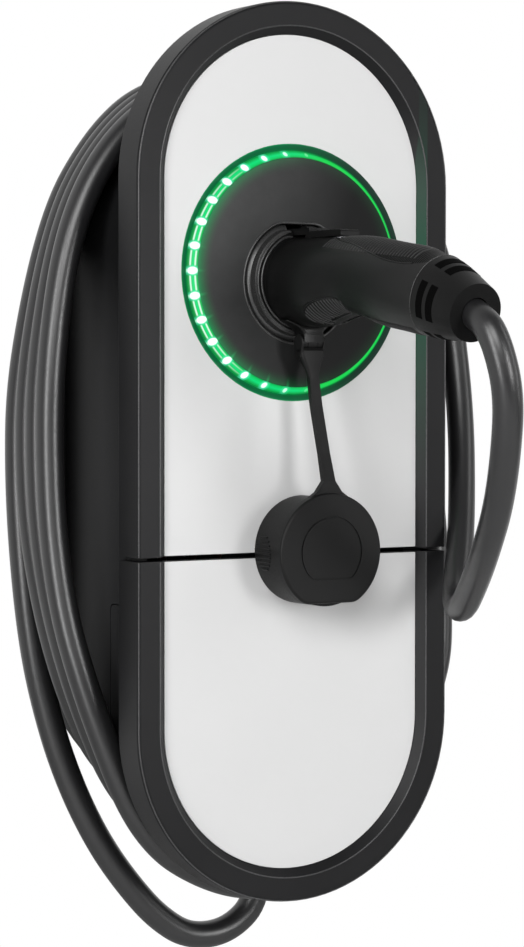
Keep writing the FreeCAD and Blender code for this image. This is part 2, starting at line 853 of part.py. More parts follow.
def make_holster_cup():
    centre_front = V(0, disc_back_y, cup_centre_z)
    wall = rod(cup_outer_radius, centre_front, V(0, cup_floor_y + cup_floor, cup_centre_z))
    flange = tube(cup_flange_radius, cup_outer_radius - shell_wall, V(0, cup_flange_front_y, ring_centre_z),
                  V(0, cup_flange_front_y + cup_flange_thickness, ring_centre_z))
    # Supports that carry the light ring and the channel on the cup's flange.
    seat = tube(led_board_inner - fit_gap, led_board_inner - shell_wall,
                V(0, disc_back_y, ring_centre_z), V(0, cup_flange_front_y, ring_centre_z))
    cup = joined([wall, flange, seat])
    first_step_y = disc_back_y + mouth_depth
    second_step_y = first_step_y + step_depth
    bore = rod(nose_radius + nose_gap, centre_front, V(0, cup_floor_y, cup_centre_z))
    cup = cup.cut(joined([mouth_block(0, disc_back_y, first_step_y),
                          mouth_block(step_width, first_step_y, second_step_y), bore, latch_pocket()]))
    holes = [rod(screw_shank_radius + fit_gap, place, V(place.x, cup_flange_front_y + cup_flange_thickness,
                                                        place.z))
             for place in cup_screw_places(cup_flange_front_y)]
    return cup.cut(group(holes))


def make_cup_screws():
    seat_y = cup_flange_front_y + cup_flange_thickness
    reach = seat_y - panel_back_y - 2 * fit_gap
    return group([screw(place, -axis_y, reach, screw_shank_radius, screw_head_radius, screw_head_height)
                  for place in cup_screw_places(seat_y)])


# Handle sections: distance behind the face, top and bottom over the nose's axis, half width.
handle_sections = [
    (0.0, 22.4, -22.4, 22.3),
    (-12.0, 22.3, -23.6, 22.6),
    (-26.0, 22.0, -23.5, 22.2),
    (-40.0, 21.5, -21.2, 20.4),
    (-56.0, 21.0, -17.6, 17.6),
    (-72.0, 20.2, -20.2, 16.6),
    (-88.0, 18.0, -24.0, 16.9),
    (-106.0, 15.4, -26.6, 17.0),
    (-124.0, 11.8, -28.6, 16.8),
    (-140.0, 7.6, -31.0, 16.4),
]


# A place on the connector: x, distance behind the face, height over the nose's axis.
def nose_spot(x, y, z):
    return V(x, face_y + y, cup_centre_z + z)


def handle_block(shrink):
    wires = []
    for y, top, bottom, half_width in handle_sections:
        middle = nose_spot(0, y, (top + bottom) / 2)
        wires.append(ring_wire(middle, (top - bottom) / 2 - shrink, half_width - shrink))
    return Part.makeLoft(wires, True, False)


# An oval drawn as a closed curve that starts at its lowest point in every section.
def ring_wire(middle, half_height, half_width, up=axis_z):
    points = []
    for index in range(oval_points):
        turn = 2 * math.pi * index / oval_points - math.pi / 2
        points.append(middle + axis_x * (half_width * math.cos(turn)) + up * (half_height * math.sin(turn)))
    curve = Part.BSplineCurve()
    curve.interpolate(points, PeriodicFlag=True)
    return Part.Wire([curve.toShape()])


def boot_axis():
    turn = math.radians(boot_tilt)
    return V(0, -math.cos(turn), -math.sin(turn))


def boot_up():
    turn = math.radians(boot_tilt)
    return V(0, -math.sin(turn), math.cos(turn))


def behind_joint():
    side = far
    slab = Part.makeBox(side, side, side, V(-side / 2, -side / 2, 0))
    turn = FreeCAD.Rotation(axis_z, boot_axis())
    slab.Placement = FreeCAD.Placement(V(0, joint_y, joint_z), turn)
    return slab


# The edge between the hard handle and the soft insert on its top, as (y, z) on the connector.
top_grip_edge = [
    (-41.0, 24.0), (-51.0, 19.4), (-66.0, 17.0), (-81.0, 13.2), (-98.0, 8.6), (-116.0, 5.6), (-131.0, 5.6),
    (-144.0, 8.0),
]
top_grip_high = 42.0


def top_grip_region():
    edge_points = [nose_spot(0, y, z) for y, z in top_grip_edge]
    curve = Part.BSplineCurve()
    curve.interpolate(edge_points)
    top_left = nose_spot(0, top_grip_edge[-1][0], top_grip_high)
    top_right = nose_spot(0, top_grip_edge[0][0], top_grip_high)
    outline = Part.Wire([curve.toShape(), Part.LineSegment(edge_points[-1], top_left).toShape(),
                         Part.LineSegment(top_left, top_right).toShape(),
                         Part.LineSegment(top_right, edge_points[0]).toShape()])
    face = Part.Face(outline)
    face.translate(V(-far / 4, 0, 0))
    return face.extrude(V(far / 2, 0, 0))


# Oval patch under the finger and a square one further back, with what stays under them.
finger_patch_y = -46.0
finger_patch_z = -16.0
finger_patch_half_length = 16.5
finger_patch_half_height = 6.6
finger_patch_tilt = -12.0
finger_patch_floor = -11.5
finger_core_drop = 3.0
under_patch_half_width = 9.5
under_patch_front = -78.0
under_patch_rear = -120.0
under_patch_low = -48.0
under_patch_high = -12.0


def finger_grip_region():
    middle = nose_spot(0, finger_patch_y, finger_patch_z)
    start = middle - axis_x * (far / 4)
    oval = Part.Ellipse(start - axis_y * finger_patch_half_length,
                        start + axis_z * finger_patch_half_height, start)
    region = Part.Face(Part.Wire([oval.toShape()])).extrude(V(far / 2, 0, 0))
    region.rotate(middle, axis_x, finger_patch_tilt)
    return region


def under_grip_region():
    low = nose_spot(0, under_patch_rear, under_patch_low)
    high = nose_spot(0, under_patch_front, under_patch_high)
    return box(-under_patch_half_width, under_patch_half_width, low.y, high.y, low.z, high.z)


def grip_piece(region):
    return handle_block(0).cut(behind_joint()).common(region)


def finger_core():
    middle_z = cup_centre_z - finger_core_drop
    return above(cup_centre_z + finger_patch_floor).fuse(
        rod(carrier_radius - 3 * grip_depth, V(0, -far, middle_z), V(0, 0, middle_z)))


def make_top_grip():
    return grip_piece(top_grip_region()).cut(lever_space())


def make_finger_grip():
    return grip_piece(finger_grip_region()).cut(finger_core())


def make_under_grip():
    return grip_piece(under_grip_region())


def make_connector_shell():
    handle = handle_block(0).cut(behind_joint())
    nose = rod(nose_radius, nose_spot(0, nose_length - nose_rim, 0), nose_spot(0, -nose_rim, 0))
    collar = Part.Face(mouth_outline(mouth_radius - step_width - 2.6, mouth_top_z - step_width - 1.6,
                                     mouth_corner - 3, collar_y)).extrude(V(0, -collar_thickness, 0))
    shell = joined([handle, nose, collar, cap_lug_arms()])
    nose_end = nose_spot(0, nose_length, 0)
    carrier_space = rod(carrier_radius + slide_gap, nose_end, V(0, carrier_rear_y, cup_centre_z))
    cord_bore = rod(cable_radius + slide_gap, boot_point(0, 0), boot_point(-cord_reach, 0))
    core_space = rod(cable_radius, V(0, carrier_rear_y, cup_centre_z), boot_point(-cord_reach, 0))
    shell = shell.cut(joined([carrier_space, cord_bore, core_space]))
    shell = shell.cut(make_top_grip()).cut(make_finger_grip()).cut(make_under_grip())
    shell = shell.cut(lever_space()).cut(cap_lug_slot())
    pin_hole = rod(lever_pin_radius + press_slack, V(-lever_pin_half, lever_pivot_y, lever_pivot_z),
                   V(lever_pin_half, lever_pivot_y, lever_pivot_z))
    return shell.cut(pin_hole)


# Room for the thumb lever and its travel in the top of the handle.
def lever_space():
    half = lever_width / 2 + lever_side_gap
    eye_room = lever_eye_radius + lever_side_gap
    arm_room = box(-half, half, lever_pivot_y, face_y + nose_length, lever_arm_bottom - 0.7, far)
    pad_room = box(-half, half, lever_pad_rear_y - 2 * lever_side_gap, lever_pivot_y, lever_floor_z, far)
    pivot_room = box(-half, half, lever_pivot_y - eye_room, lever_pivot_y + eye_room,
                     lever_pivot_z - eye_room, far)
    return joined([arm_room, pad_room, pivot_room])


def make_contact_carrier():
    carrier = rod(carrier_radius, V(0, carrier_front_y, cup_centre_z), V(0, carrier_rear_y, cup_centre_z))
    cuts = [rod(radius + contact_wall + slide_gap, V(x, carrier_front_y, cup_centre_z + z),
                V(x, carrier_front_y - contact_length,
                  cup_centre_z + z)) for x, z, radius in contact_places()]
    return carrier.cut(group(cuts))


# Two power contacts above, earth at the bottom and two small signal contacts between.
def contact_places():
    return [(-7.8, 6.8, power_contact_radius), (7.8, 6.8, power_contact_radius),
            (0.0, -10.6, power_contact_radius), (-10.0, -4.4, signal_contact_radius),
            (10.0, -4.4, signal_contact_radius)]


def make_contacts():
    front_y = carrier_front_y - 1
    sleeves = []
    for x, z, radius in contact_places():
        front = V(x, front_y, cup_centre_z + z)
        back = V(x, front_y - contact_length + 1, cup_centre_z + z)
        sleeves.append(rod(radius + contact_wall, front, back).cut(rod(radius, front,
                                                                       back + axis_y * contact_bore_depth)))
    return group(sleeves)


def make_latch_lever():
    half = lever_width / 2
    arm = box(-half, half, lever_pivot_y, lever_hook_y, lever_arm_bottom, lever_arm_top)
    hook = box(-half, half, lever_hook_y - 3, lever_hook_y, lever_arm_bottom - lever_hook_drop + 2,
               lever_arm_top)
    web = box(-half, half, lever_pivot_y - lever_eye_radius, lever_pivot_y + lever_eye_radius, lever_pivot_z,
              lever_pad_top)
    eye = rod(lever_eye_radius, V(-half, lever_pivot_y, lever_pivot_z), V(half, lever_pivot_y,
                                                                          lever_pivot_z))
    pad = box(-half, half, lever_pad_rear_y, lever_pivot_y + 1, lever_pad_top - lever_pad_thickness,
              lever_pad_top)
    lever = joined([arm, hook, web, eye, pad])
    top_edges = [edge for edge in lever.Edges
                 if edge.BoundBox.ZMin > lever_pad_top - slide_gap and edge.BoundBox.YMax < lever_pivot_y
                 and edge.BoundBox.ZMax < lever_pad_top + slide_gap]
    lever = lever.makeFillet(1.0, top_edges)
    bore = rod(lever_pin_radius + slide_gap, V(-half, lever_pivot_y, lever_pivot_z),
               V(half, lever_pivot_y, lever_pivot_z))
    return lever.cut(bore)


def make_latch_pin():
    half = lever_pin_half
    return rod(lever_pin_radius, V(-half, lever_pivot_y, lever_pivot_z), V(half, lever_pivot_y,
                                                                           lever_pivot_z))


# Flat spring that lifts the pad: it stands on the carrier and bears on the pad's underside.
def make_latch_spring():
    half = lever_width / 2 - 2
    under = lever_pad_top - lever_pad_thickness
    seat = lever_floor_z
    y_far = lever_pad_rear_y + spring_foot - 1
    foot = box(-half, half, y_far, y_far + spring_foot, seat, seat + spring_leaf)
    post = box(-half, half, y_far, y_far + spring_leaf, seat, under - fit_gap)
    return joined([foot, post])


def boot_point(along, up, across=0.0):
    return V(across, joint_y, joint_z) + boot_axis() * along + boot_up() * up


def boot_section(along, half_height, half_width):
    return ring_wire(boot_point(along, 0), half_height, half_width, boot_up())


def boot_block(shrink, length):
    height = boot_rear_height - shrink
    width = boot_rear_width - shrink
    end = boot_end_radius - shrink
    middle_height = height * 0.5 + end * 0.5 + boot_swell
    middle_width = width * 0.55 + end * 0.45 + boot_swell
    wires = [boot_section(0, height, width), boot_section(length * 0.45, middle_height, middle_width),
             boot_section(length * 0.85, end + boot_swell, end + boot_swell), boot_section(length, end, end)]
    return Part.makeLoft(wires, True, False)


def make_boot():
    boot = boot_block(0, boot_length)
    slots = []
    core = boot_block(boot_slot_depth, boot_length)
    for row in range(boot_slot_rows):
        start = boot_slot_first + row * boot_slot_pitch
        slab = rod(far / 8, boot_point(start, 0), boot_point(start + boot_slot_width, 0)).cut(core)
        for index in range(boot_slot_count):
            wedge = wedge_about_boot(360.0 / boot_slot_count * index, boot_slot_angle)
            slots.append(slab.common(wedge))
    boot = boot.cut(group(slots))
    hole = rod(cable_radius + slide_gap, boot_point(-1, 0), boot_point(boot_length + 1, 0))
    return boot.cut(hole)


def wedge_about_boot(middle, spread):
    reach = far / 8
    corners = [boot_point(-1, 0)]
    for angle in (middle - spread / 2, middle, middle + spread / 2):
        turn = math.radians(angle)
        corners.append(boot_point(-1, reach * math.sin(turn), reach * math.cos(turn)))
    face = Part.Face(Part.makePolygon(corners + corners[:1]))
    return face.extrude(boot_axis() * (boot_length + 2))


def cap_outline(radius, flat_drop, corner, y):
    inner = radius - corner
    drop = flat_drop - corner
    reach = math.sqrt(inner * inner - drop * drop)
    spread = math.atan2(-drop, reach)
    middle = V(cap_centre_x, y, cap_centre_z)
    side = middle + V(radius * math.cos(spread), 0, radius * math.sin(spread))
    other_side = middle + V(-radius * math.cos(spread), 0, radius * math.sin(spread))
    half = (spread - math.pi / 2) / 2
    bend = middle + V(reach + corner * math.cos(half), 0, -drop + corner * math.sin(half))
    other_bend = V(2 * cap_centre_x - bend.x, y, bend.z)
    low = middle + V(reach, 0, -flat_drop)
    other_low = middle + V(-reach, 0, -flat_drop)
    return Part.Wire([
        Part.Arc(side, middle + V(0, 0, radius), other_side).toShape(),
        Part.Arc(other_side, other_bend, other_low).toShape(),
        Part.LineSegment(other_low, low).toShape(),
        Part.Arc(low, bend, side).toShape(),
    ])


def strap_wire(x, y, z, width, thickness):
    corners = [V(x - width / 2, y - thickness / 2, z), V(x + width / 2, y - thickness / 2, z),
               V(x + width / 2, y + thickness / 2, z), V(x - width / 2, y + thickness / 2, z)]
    return Part.makePolygon(corners + corners[:1])


# Strap sections below the pin: x, reach ahead, drop, extra width. Then the flare on the cap.
strap_sections = [
    (0.0, 0.0, 0.0, -2 * ear_gap), (0.3, 1.6, 12.0, -2 * ear_gap), (1.6, 3.6, 32.0, 0.0), (3.8, 7.4, 56.0,
                                                                                           0.0),
]
strap_flare = [(70.0, 1.0), (75.5, 9.0), (80.0, 22.0)]


def make_dust_cap():
    back_y = panel_y - cap_wall_gap
    front_y = back_y - cap_length
    flange_back_y = front_y + cap_flange_thickness
    barrel = rod(cap_radius, V(cap_centre_x, back_y, cap_centre_z), V(cap_centre_x, flange_back_y,
                                                                      cap_centre_z))
    flange = Part.Face(cap_outline(cap_flange_radius, cap_flat_drop, cap_flat_corner, front_y))
    flange = flange.extrude(V(0, cap_flange_thickness, 0))
    rim = [edge for edge in flange.Edges if edge.BoundBox.YMax < front_y + slide_gap]
    flange = flange.makeFillet(cap_edge_round, rim)
    strap_low_y = front_y + cap_flange_thickness / 2 + 1.0
    wires = [strap_wire(x, strap_pin_y - ahead, strap_pin_z - drop, strap_width + extra, strap_thickness)
             for x, ahead, drop, extra in strap_sections]
    wires += [strap_wire(cap_centre_x, strap_low_y, strap_pin_z - drop, strap_width + extra, strap_thickness)
              for drop, extra in strap_flare]
    strap = Part.makeLoft(wires, True, True)
    eye = rod(strap_eye_radius, V(-strap_width / 2 + ear_gap, strap_pin_y, strap_pin_z),
              V(strap_width / 2 - ear_gap, strap_pin_y, strap_pin_z))
    cap = joined([barrel, flange, strap, eye])
    cavity = rod(nose_radius + cap_bore_gap, V(cap_centre_x, back_y, cap_centre_z),
                 V(cap_centre_x, front_y + cap_floor, cap_centre_z))
    mark_out = Part.Face(cap_outline(cap_mark_radius, cap_mark_drop, cap_flat_corner / 2, front_y))
    mark_in = Part.Face(cap_outline(cap_mark_radius - cap_mark_width, cap_mark_drop - cap_mark_width,
                                    cap_flat_corner / 2 - cap_mark_width / 2, front_y))
    mark = mark_out.cut(mark_in).extrude(V(0, cap_mark_depth, 0))
    bore = rod(strap_pin_radius + slide_gap, V(-strap_width, strap_pin_y, strap_pin_z),
               V(strap_width, strap_pin_y, strap_pin_z))
    return cap.cut(group([cavity, mark, bore]))


# Lug under the handle that carries the dust cap's pin.
def cap_lug_arms():
    half = strap_width / 2 + ear_thickness
    eye = rod(strap_eye_radius, V(-half, strap_pin_y, strap_pin_z), V(half, strap_pin_y, strap_pin_z))
    arm = box(-half, half, strap_pin_y - strap_eye_radius, strap_pin_y + strap_eye_radius, strap_pin_z,
              strap_pin_z + 12)
    back = box(-half, half, strap_pin_y - strap_eye_radius, collar_y, strap_pin_z + 5.6, strap_pin_z + 12)
    return joined([eye, arm, back])


def cap_lug_slot():
    half = strap_width / 2
    slot = box(-half, half, strap_pin_y - 3 * strap_eye_radius, strap_pin_y + 3 * strap_eye_radius,
               strap_pin_z - 3 * strap_eye_radius, strap_pin_z + strap_eye_radius + 2 * fit_gap)
    pin_reach = half + ear_thickness
    return slot.fuse(rod(strap_pin_radius + press_slack, V(-pin_reach, strap_pin_y, strap_pin_z),
                         V(pin_reach, strap_pin_y, strap_pin_z)))


def make_cap_pin():
    half = strap_width / 2 + ear_thickness
    return rod(strap_pin_radius, V(-half, strap_pin_y, strap_pin_z), V(half, strap_pin_y, strap_pin_z))


def hexagon(flats, start, end):
    radius = flats / math.sqrt(3)
    corners = []
    for index in range(6):
        turn = math.pi / 3 * index
        corners.append(start + V(radius * math.cos(turn), radius * math.sin(turn), 0))
    return Part.Face(Part.makePolygon(corners + corners[:1])).extrude(end - start)


def gland_spot(z):
    return V(gland_x, gland_y, z)


def make_gland_body():
    shoulder = gland_boss_z - gland_washer_height
    hexed = hexagon(gland_hex_flats, gland_spot(gland_hex_z), gland_spot(shoulder))
    thread = rod(gland_thread_radius, gland_spot(shoulder), gland_spot(gland_boss_z + gland_thread_length))
    lower = rod(gland_thread_radius, gland_spot(gland_hex_z - gland_sleeve), gland_spot(gland_hex_z))
    sleeve_end = gland_hex_z - gland_sleeve
    seal_seat = rod(gland_seal_radius, gland_spot(sleeve_end), gland_spot(sleeve_end + gland_seal_height))
    bore = rod(cable_radius + fit_gap, gland_spot(sleeve_end), gland_spot(gland_top_z))
    return joined([hexed, thread, lower]).cut(joined([seal_seat, bore]))


def make_gland_nut():
    top = gland_hex_z
    hexed = hexagon(gland_hex_flats, gland_spot(top - gland_nut_hex_height), gland_spot(top))
    dome = Part.makeCone(gland_nut_end_radius, gland_hex_flats / 2, gland_nut_height - gland_nut_hex_height,
                         gland_spot(gland_end_z))
    outer = joined([hexed, dome])
    inner = rod(gland_thread_radius + slide_gap, gland_spot(top - gland_sleeve - fit_gap), gland_spot(top))
    bore = rod(cable_radius + fit_gap, gland_spot(gland_end_z), gland_spot(top))
    return outer.cut(joined([inner, bore]))


def make_gland_seal():
    low = gland_hex_z - gland_sleeve
    return tube(gland_seal_radius - slide_gap, cable_radius + slide_gap, gland_spot(low),
                gland_spot(low + gland_seal_height))


def make_gland_washer():
    return tube(gland_hex_flats / 2 - fit_gap, gland_thread_radius + slide_gap,
                gland_spot(gland_boss_z - gland_washer_height), gland_spot(gland_boss_z))


# The end of the cable's jacket above the gland, where its cores come out.
def make_cable_end():
    start = lead_points()[0]
    end = gland_spot(gland_top_z + cable_diameter)
    return rod(cable_radius, start, end)


def make_main_board():
    board = rounded_plate(board_half_width, board_low_z, board_high_z, board_corner, board_y,
                          board_y + board_thickness)
    holes = [rod(screw_shank_radius + fit_gap, place, place + axis_y * board_thickness)
             for place in board_screw_places(board_y)]
    return board.cut(group(holes))


def make_board_screws():
    length = board_thickness + board_screw_bite * standoff_length
    return group([screw(place, axis_y, length, screw_shank_radius, screw_head_radius, screw_head_height)
                  for place in board_screw_places(board_y)])


def make_relays():
    low_z = board_low_z + standoff_inset
    relays = []
    for x_low in (-relay_width - relay_gap / 2, relay_gap / 2):
        relays.append(box(x_low, x_low + relay_width, board_y - relay_depth, board_y, low_z,
                          low_z + relay_height))
    return group(relays)


def make_transformer():
    low_z = board_high_z - transformer_size - transformer_drop
    high_z = low_z + transformer_size
    left = -board_half_width + standoff_inset
    right = left + transformer_size
    front_y = board_y - transformer_depth
    core = box(left, right, front_y, board_y, low_z, high_z)
    coil = box(left + winding_inset, right - winding_inset, front_y - winding_overhang,
               board_y - winding_overhang,
               low_z - winding_overhang, high_z + winding_overhang)
    return joined([core, coil])


def make_capacitors():
    cans = []
    for index in range(capacitor_count):
        rise = capacitor_rise + index * (2 * capacitor_radius + capacitor_gap)
        place = V(board_half_width - capacitor_inset, board_y, board_low_z + rise)
        cans.append(rod(capacitor_radius, place, place - axis_y * capacitor_height))
    return group(cans)


def make_radio_module():
    left = -radio_side - radio_length
    low_z = board_low_z + radio_rise
    shield_left = left + shield_inset
    plate_y = board_y - radio_thickness
    plate = box(left, -radio_side, plate_y, board_y, low_z, low_z + radio_height)
    shield = box(shield_left, shield_left + shield_length, plate_y - shield_thickness, plate_y,
                 low_z + shield_inset, low_z + radio_height - shield_inset)
    return joined([plate, shield])


def make_current_sensor():
    x = -board_half_width + toroid_inset
    low_z = board_low_z + toroid_rise
    low = V(x, board_y - toroid_outer - 1, low_z)
    high = low + axis_z * toroid_height
    foot = box(x - toroid_inner, x + toroid_inner, board_y - toroid_foot_thickness, board_y, low_z, high.z)
    return joined([tube(toroid_outer, toroid_inner, low, high), foot]).cut(rod(toroid_inner, low, high))


def terminal_places():
    return [terminal_left + terminal_pitch * (index + 0.5) for index in range(terminal_count)]


def make_terminal_block():
    front_y = back_wall_y - terminal_depth
    high_z = terminal_z + terminal_height
    screw_z = terminal_z + terminal_screw_rise
    block = box(terminal_left, terminal_left + terminal_pitch * terminal_count, front_y, back_wall_y,
                terminal_z,
                high_z)
    cuts = []
    for x in terminal_places():
        cuts.append(rod(terminal_well_radius, V(x, front_y, screw_z), V(x, front_y + terminal_well,
                                                                        screw_z)))
        cuts.append(rod(terminal_entry_radius, V(x, wire_y, terminal_z), V(x, wire_y,
                                                                           terminal_z + terminal_well)))
        cuts.append(rod(wire_radius + slide_gap, V(x, wire_y, high_z - terminal_well), V(x, wire_y, high_z)))
    return block.cut(group(cuts))


def make_terminal_screws():
    seat_y = back_wall_y - terminal_depth + terminal_well
    head_y = seat_y - terminal_screw_height
    z = terminal_z + terminal_screw_rise
    screws = []
    for x in terminal_places():
        head = rod(terminal_screw_radius, V(x, head_y, z), V(x, seat_y, z))
        slot = box(x - terminal_well_radius, x + terminal_well_radius, head_y, head_y + screw_slot_depth,
                   z - screw_slot_width / 2, z + screw_slot_width / 2)
        screws.append(head.cut(slot))
    return group(screws)


def make_power_leads():
    high_z = terminal_z + terminal_height
    leads = []
    for x, hole_x in zip(terminal_places(), wire_hole_places):
        route = [V(x, wire_y, high_z - terminal_well), V(x, wire_y, high_z + wire_rise),
                 V(hole_x, wire_y, divider_top_z - divider_thickness - wire_rise / 2),
                 V(hole_x, wire_y, divider_top_z + wire_end)]
        leads.append(round_route(route, wire_radius))
    return group(leads)


def make_earth_bar():
    front_y = back_wall_y - earth_bar_thickness
    left = earth_bar_left * side_scale
    low_z = earth_bar_low_z * low_scale
    hole_z = low_z + earth_bar_height / 2
    bar = box(left, left + earth_bar_length * side_scale, front_y, back_wall_y, low_z,
              low_z + earth_bar_height)
    pitch = (earth_bar_length * side_scale - 2 * earth_hole_inset) / (earth_hole_count - 1)
    holes = []
    for index in range(earth_hole_count):
        place = V(left + earth_hole_inset + index * pitch, front_y, hole_z)
        holes.append(rod(earth_hole_radius, place, place + axis_y * earth_hole_depth))
    return bar.cut(group(holes))


def make_supply_grommet():
    inside = V(supply_x, back_wall_y - supply_lip_thickness, supply_z)
    start = V(supply_x, back_wall_y, supply_z)
    end = V(supply_x, -wall_rim_depth, supply_z)
    outside = V(supply_x, -wall_rim_depth + supply_lip_thickness, supply_z)
    body = joined([rod(supply_lip_radius, inside, start), rod(supply_hole_radius - slide_gap, start, end),
                   rod(supply_lip_radius, end, outside)])
    return body.cut(rod(supply_bore_radius, inside, outside))


def make_bracket_screw():
    return screw(V(0, back_wall_y, bracket_screw_z), axis_y, -back_wall_y - fit_gap, large_shank_radius,
                 large_head_radius, screw_head_height)


# The path of a cord: straight runs between its points, with an arc at each corner whose
# radius is 0.45 of the shorter run beside it, over the tangent of half the turn.
def corner_radii(points):
    radii = []
    for before, corner, after in zip(points, points[1:], points[2:]):
        run_in = corner - before
        run_out = after - corner
        half_turn = run_in.getAngle(run_out) / 2
        radii.append(0.45 * min(run_in.Length, run_out.Length) / math.tan(half_turn))
    return radii


def cord_path(points):
    radii = corner_radii(points)
    edges = []
    start = points[0]
    for before, corner, after, radius in zip(points, points[1:], points[2:], radii):
        way_in = (corner - before).normalize()
        way_out = (after - corner).normalize()
        half_turn = way_in.getAngle(way_out) / 2
        back_off = radius * math.tan(half_turn)
        arc_start = corner - way_in * back_off
        arc_end = corner + way_out * back_off
        inward = (way_out - way_in).normalize()
        middle = corner + inward * (radius / math.cos(half_turn) - radius)
        edges.append(Part.LineSegment(start, arc_start).toShape())
        edges.append(Part.Arc(arc_start, middle, arc_end).toShape())
        start = arc_end
    edges.append(Part.LineSegment(start, points[-1]).toShape())
    return Part.Wire(edges)


def round_route(points, radius):
    path = cord_path(points)
    way = (points[1] - points[0]).normalize()
    section = Part.Wire([Part.Circle(points[0], way, radius).toShape()])
    return path.makePipeShell([section], True, False)


# A drawn place beside the neck, moved out to the real neck.
def beside_neck(x, y, z):
    return V(x * side_scale, y, z * (top_scale if z > 0 else low_scale))


def lead_points():
    return [beside_neck(x, y, z) for x, y, z in lead_route]


def tail_points():
    beside = [beside_neck(x, face_y + y, z) for x, y, z in tail_beside]
    return beside + [nose_spot(x, y, z) for x, y, z in tail_ahead]


# A closed curve at distance `grow` outside a list of (x, z) points.
def grown_curve(line, grow, y):
    places = [beside_neck(x, y, z) for x, z in line]
    points = []
    for index, place in enumerate(places):
        along = (places[(index + 1) % len(places)] - places[index - 1]).normalize()
        outward = V(-along.z, 0, along.x)
        points.append(place + outward * grow)
    curve = Part.BSplineCurve()
    curve.interpolate(points, PeriodicFlag=True)
    return Part.Wire([curve.toShape()])


def winding_block(grow):
    rear = Part.makeLoft([grown_curve(front_strand_line, grow, slope_start_y),
                          grown_curve(rear_strand_line, grow, coil_back_y)], True, True)
    front = Part.makeLoft([grown_curve(front_strand_line, grow, coil_low_front_y),
                           grown_curve(front_strand_line, grow, slope_start_y)], True, True)
    return rear.fuse(front)


# All the space ahead of a point, looking along a direction.
def half_space(point, along):
    slab = Part.makeBox(2 * far, 2 * far, far, V(-far, -far, 0))
    slab.Placement = FreeCAD.Placement(point, FreeCAD.Rotation(axis_z, along))
    return slab


def make_cable_coil():
    ring = winding_block(cable_radius).cut(winding_block(-cable_radius))
    corners = [(coil_back_y, far), (coil_back_y, coil_shift_top_z), (coil_low_back_y, coil_shift_end_z),
               (coil_low_back_y, -far), (coil_low_front_y, -far), (coil_low_front_y, coil_shift_end_z),
               (coil_front_y, coil_shift_top_z), (coil_front_y, far)]
    points = [V(-far, y, z) for y, z in corners]
    side_view = Part.Face(Part.makePolygon(points + points[:1])).extrude(V(2 * far, 0, 0))
    ring = ring.common(side_view)
    # Room for the lead below its joint with the rear strand, and for the tail past the front one.
    lead = lead_points()
    lead_front_y = rear_strand_y - cable_radius - fit_gap
    lead_side = half_space(lead[-1], lead[-2] - lead[-1])
    lead_side = lead_side.common(box(-far, 0, lead_front_y, far, -far, far))
    tail = tail_points()
    tail_rear_y = tail[0].y + cable_radius + fit_gap
    tail_side = half_space(tail[0], tail[1] - tail[0])
    tail_side = tail_side.common(box(0, far, -far, tail_rear_y, coil_tail_leaves_z, far))
    boss = rod(gland_boss_radius + fit_gap, gland_spot(gland_end_z), gland_spot(-rear_arc_height))
    ring = ring.cut(lead_side).cut(tail_side).cut(boss)
    return ring.cut(neck_block(fit_gap))


def make_cable_lead():
    return round_route(lead_points(), cable_radius)


def make_cable_tail():
    return round_route(tail_points(), cable_radius)


def report_cord(name, points, shape):
    path = cord_path(points)
    section = math.pi * cable_radius * cable_radius
    radii = ", ".join("%.0f" % radius for radius in corner_radii(points))
    print(name, "length %.1f" % path.Length, "volume ratio %.4f" % (shape.Volume / path.Length / section))
    print(name, "radii", radii)


nodes = {
    "wall_bracket": make_wall_bracket,
    "rear_housing": make_rear_housing,
    "upper_front_cover": make_upper_cover,
    "lower_front_cover": make_lower_cover,
    "upper_panel": make_upper_panel,
    "lower_panel": make_lower_panel,
    "cover_seal": make_cover_seal,
    "cover_screws": make_cover_screws,
    "lower_cover_screw": make_lower_cover_screw,
    "bracket_screw": make_bracket_screw,
    "holster_disc": make_holster_disc,
    "holster_cup": make_holster_cup,
    "cup_screws": make_cup_screws,
    "light_ring": make_light_ring,
    "ring_channel": make_ring_channel,
    "led_board": make_led_board,
    "leds": make_leds,
    "main_board": make_main_board,
    "board_screws": make_board_screws,
    "relays": make_relays,
    "transformer": make_transformer,
    "capacitors": make_capacitors,
    "radio_module": make_radio_module,
    "current_sensor": make_current_sensor,
    "terminal_block": make_terminal_block,
    "terminal_screws": make_terminal_screws,
    "power_leads": make_power_leads,
    "earth_bar": make_earth_bar,
    "supply_grommet": make_supply_grommet,
    "gland_body": make_gland_body,
    "gland_nut": make_gland_nut,
    "gland_seal": make_gland_seal,
    "gland_washer": make_gland_washer,
    "cable_end": make_cable_end,
    "connector_shell": make_connector_shell,
    "contact_carrier": make_contact_carrier,
    "contacts": make_contacts,
    "top_grip": make_top_grip,
    "finger_grip": make_finger_grip,
    "under_grip": make_under_grip,
    "latch_lever": make_latch_lever,
    "latch_pin": make_latch_pin,
    "latch_spring": make_latch_spring,
    "connector_boot": make_boot,
    "cap_pin": make_cap_pin,
    "dust_cap": make_dust_cap,
    "cable_lead": make_cable_lead,
    "cable_coil": make_cable_coil,
    "cable_tail": make_cable_tail,
}

os.makedirs("parts", exist_ok=True)
made = {}
for node, make in nodes.items():
    made[node] = make()
    made[node].exportStep("parts/" + node + ".step")

report_cord("cable_lead", lead_points(), made["cable_lead"])
report_cord("cable_tail", tail_points(), made["cable_tail"])
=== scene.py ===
import bmesh
import bpy
import json
import math
import numpy as np
from mathutils import Matrix, Vector
from mathutils.bvhtree import BVHTree


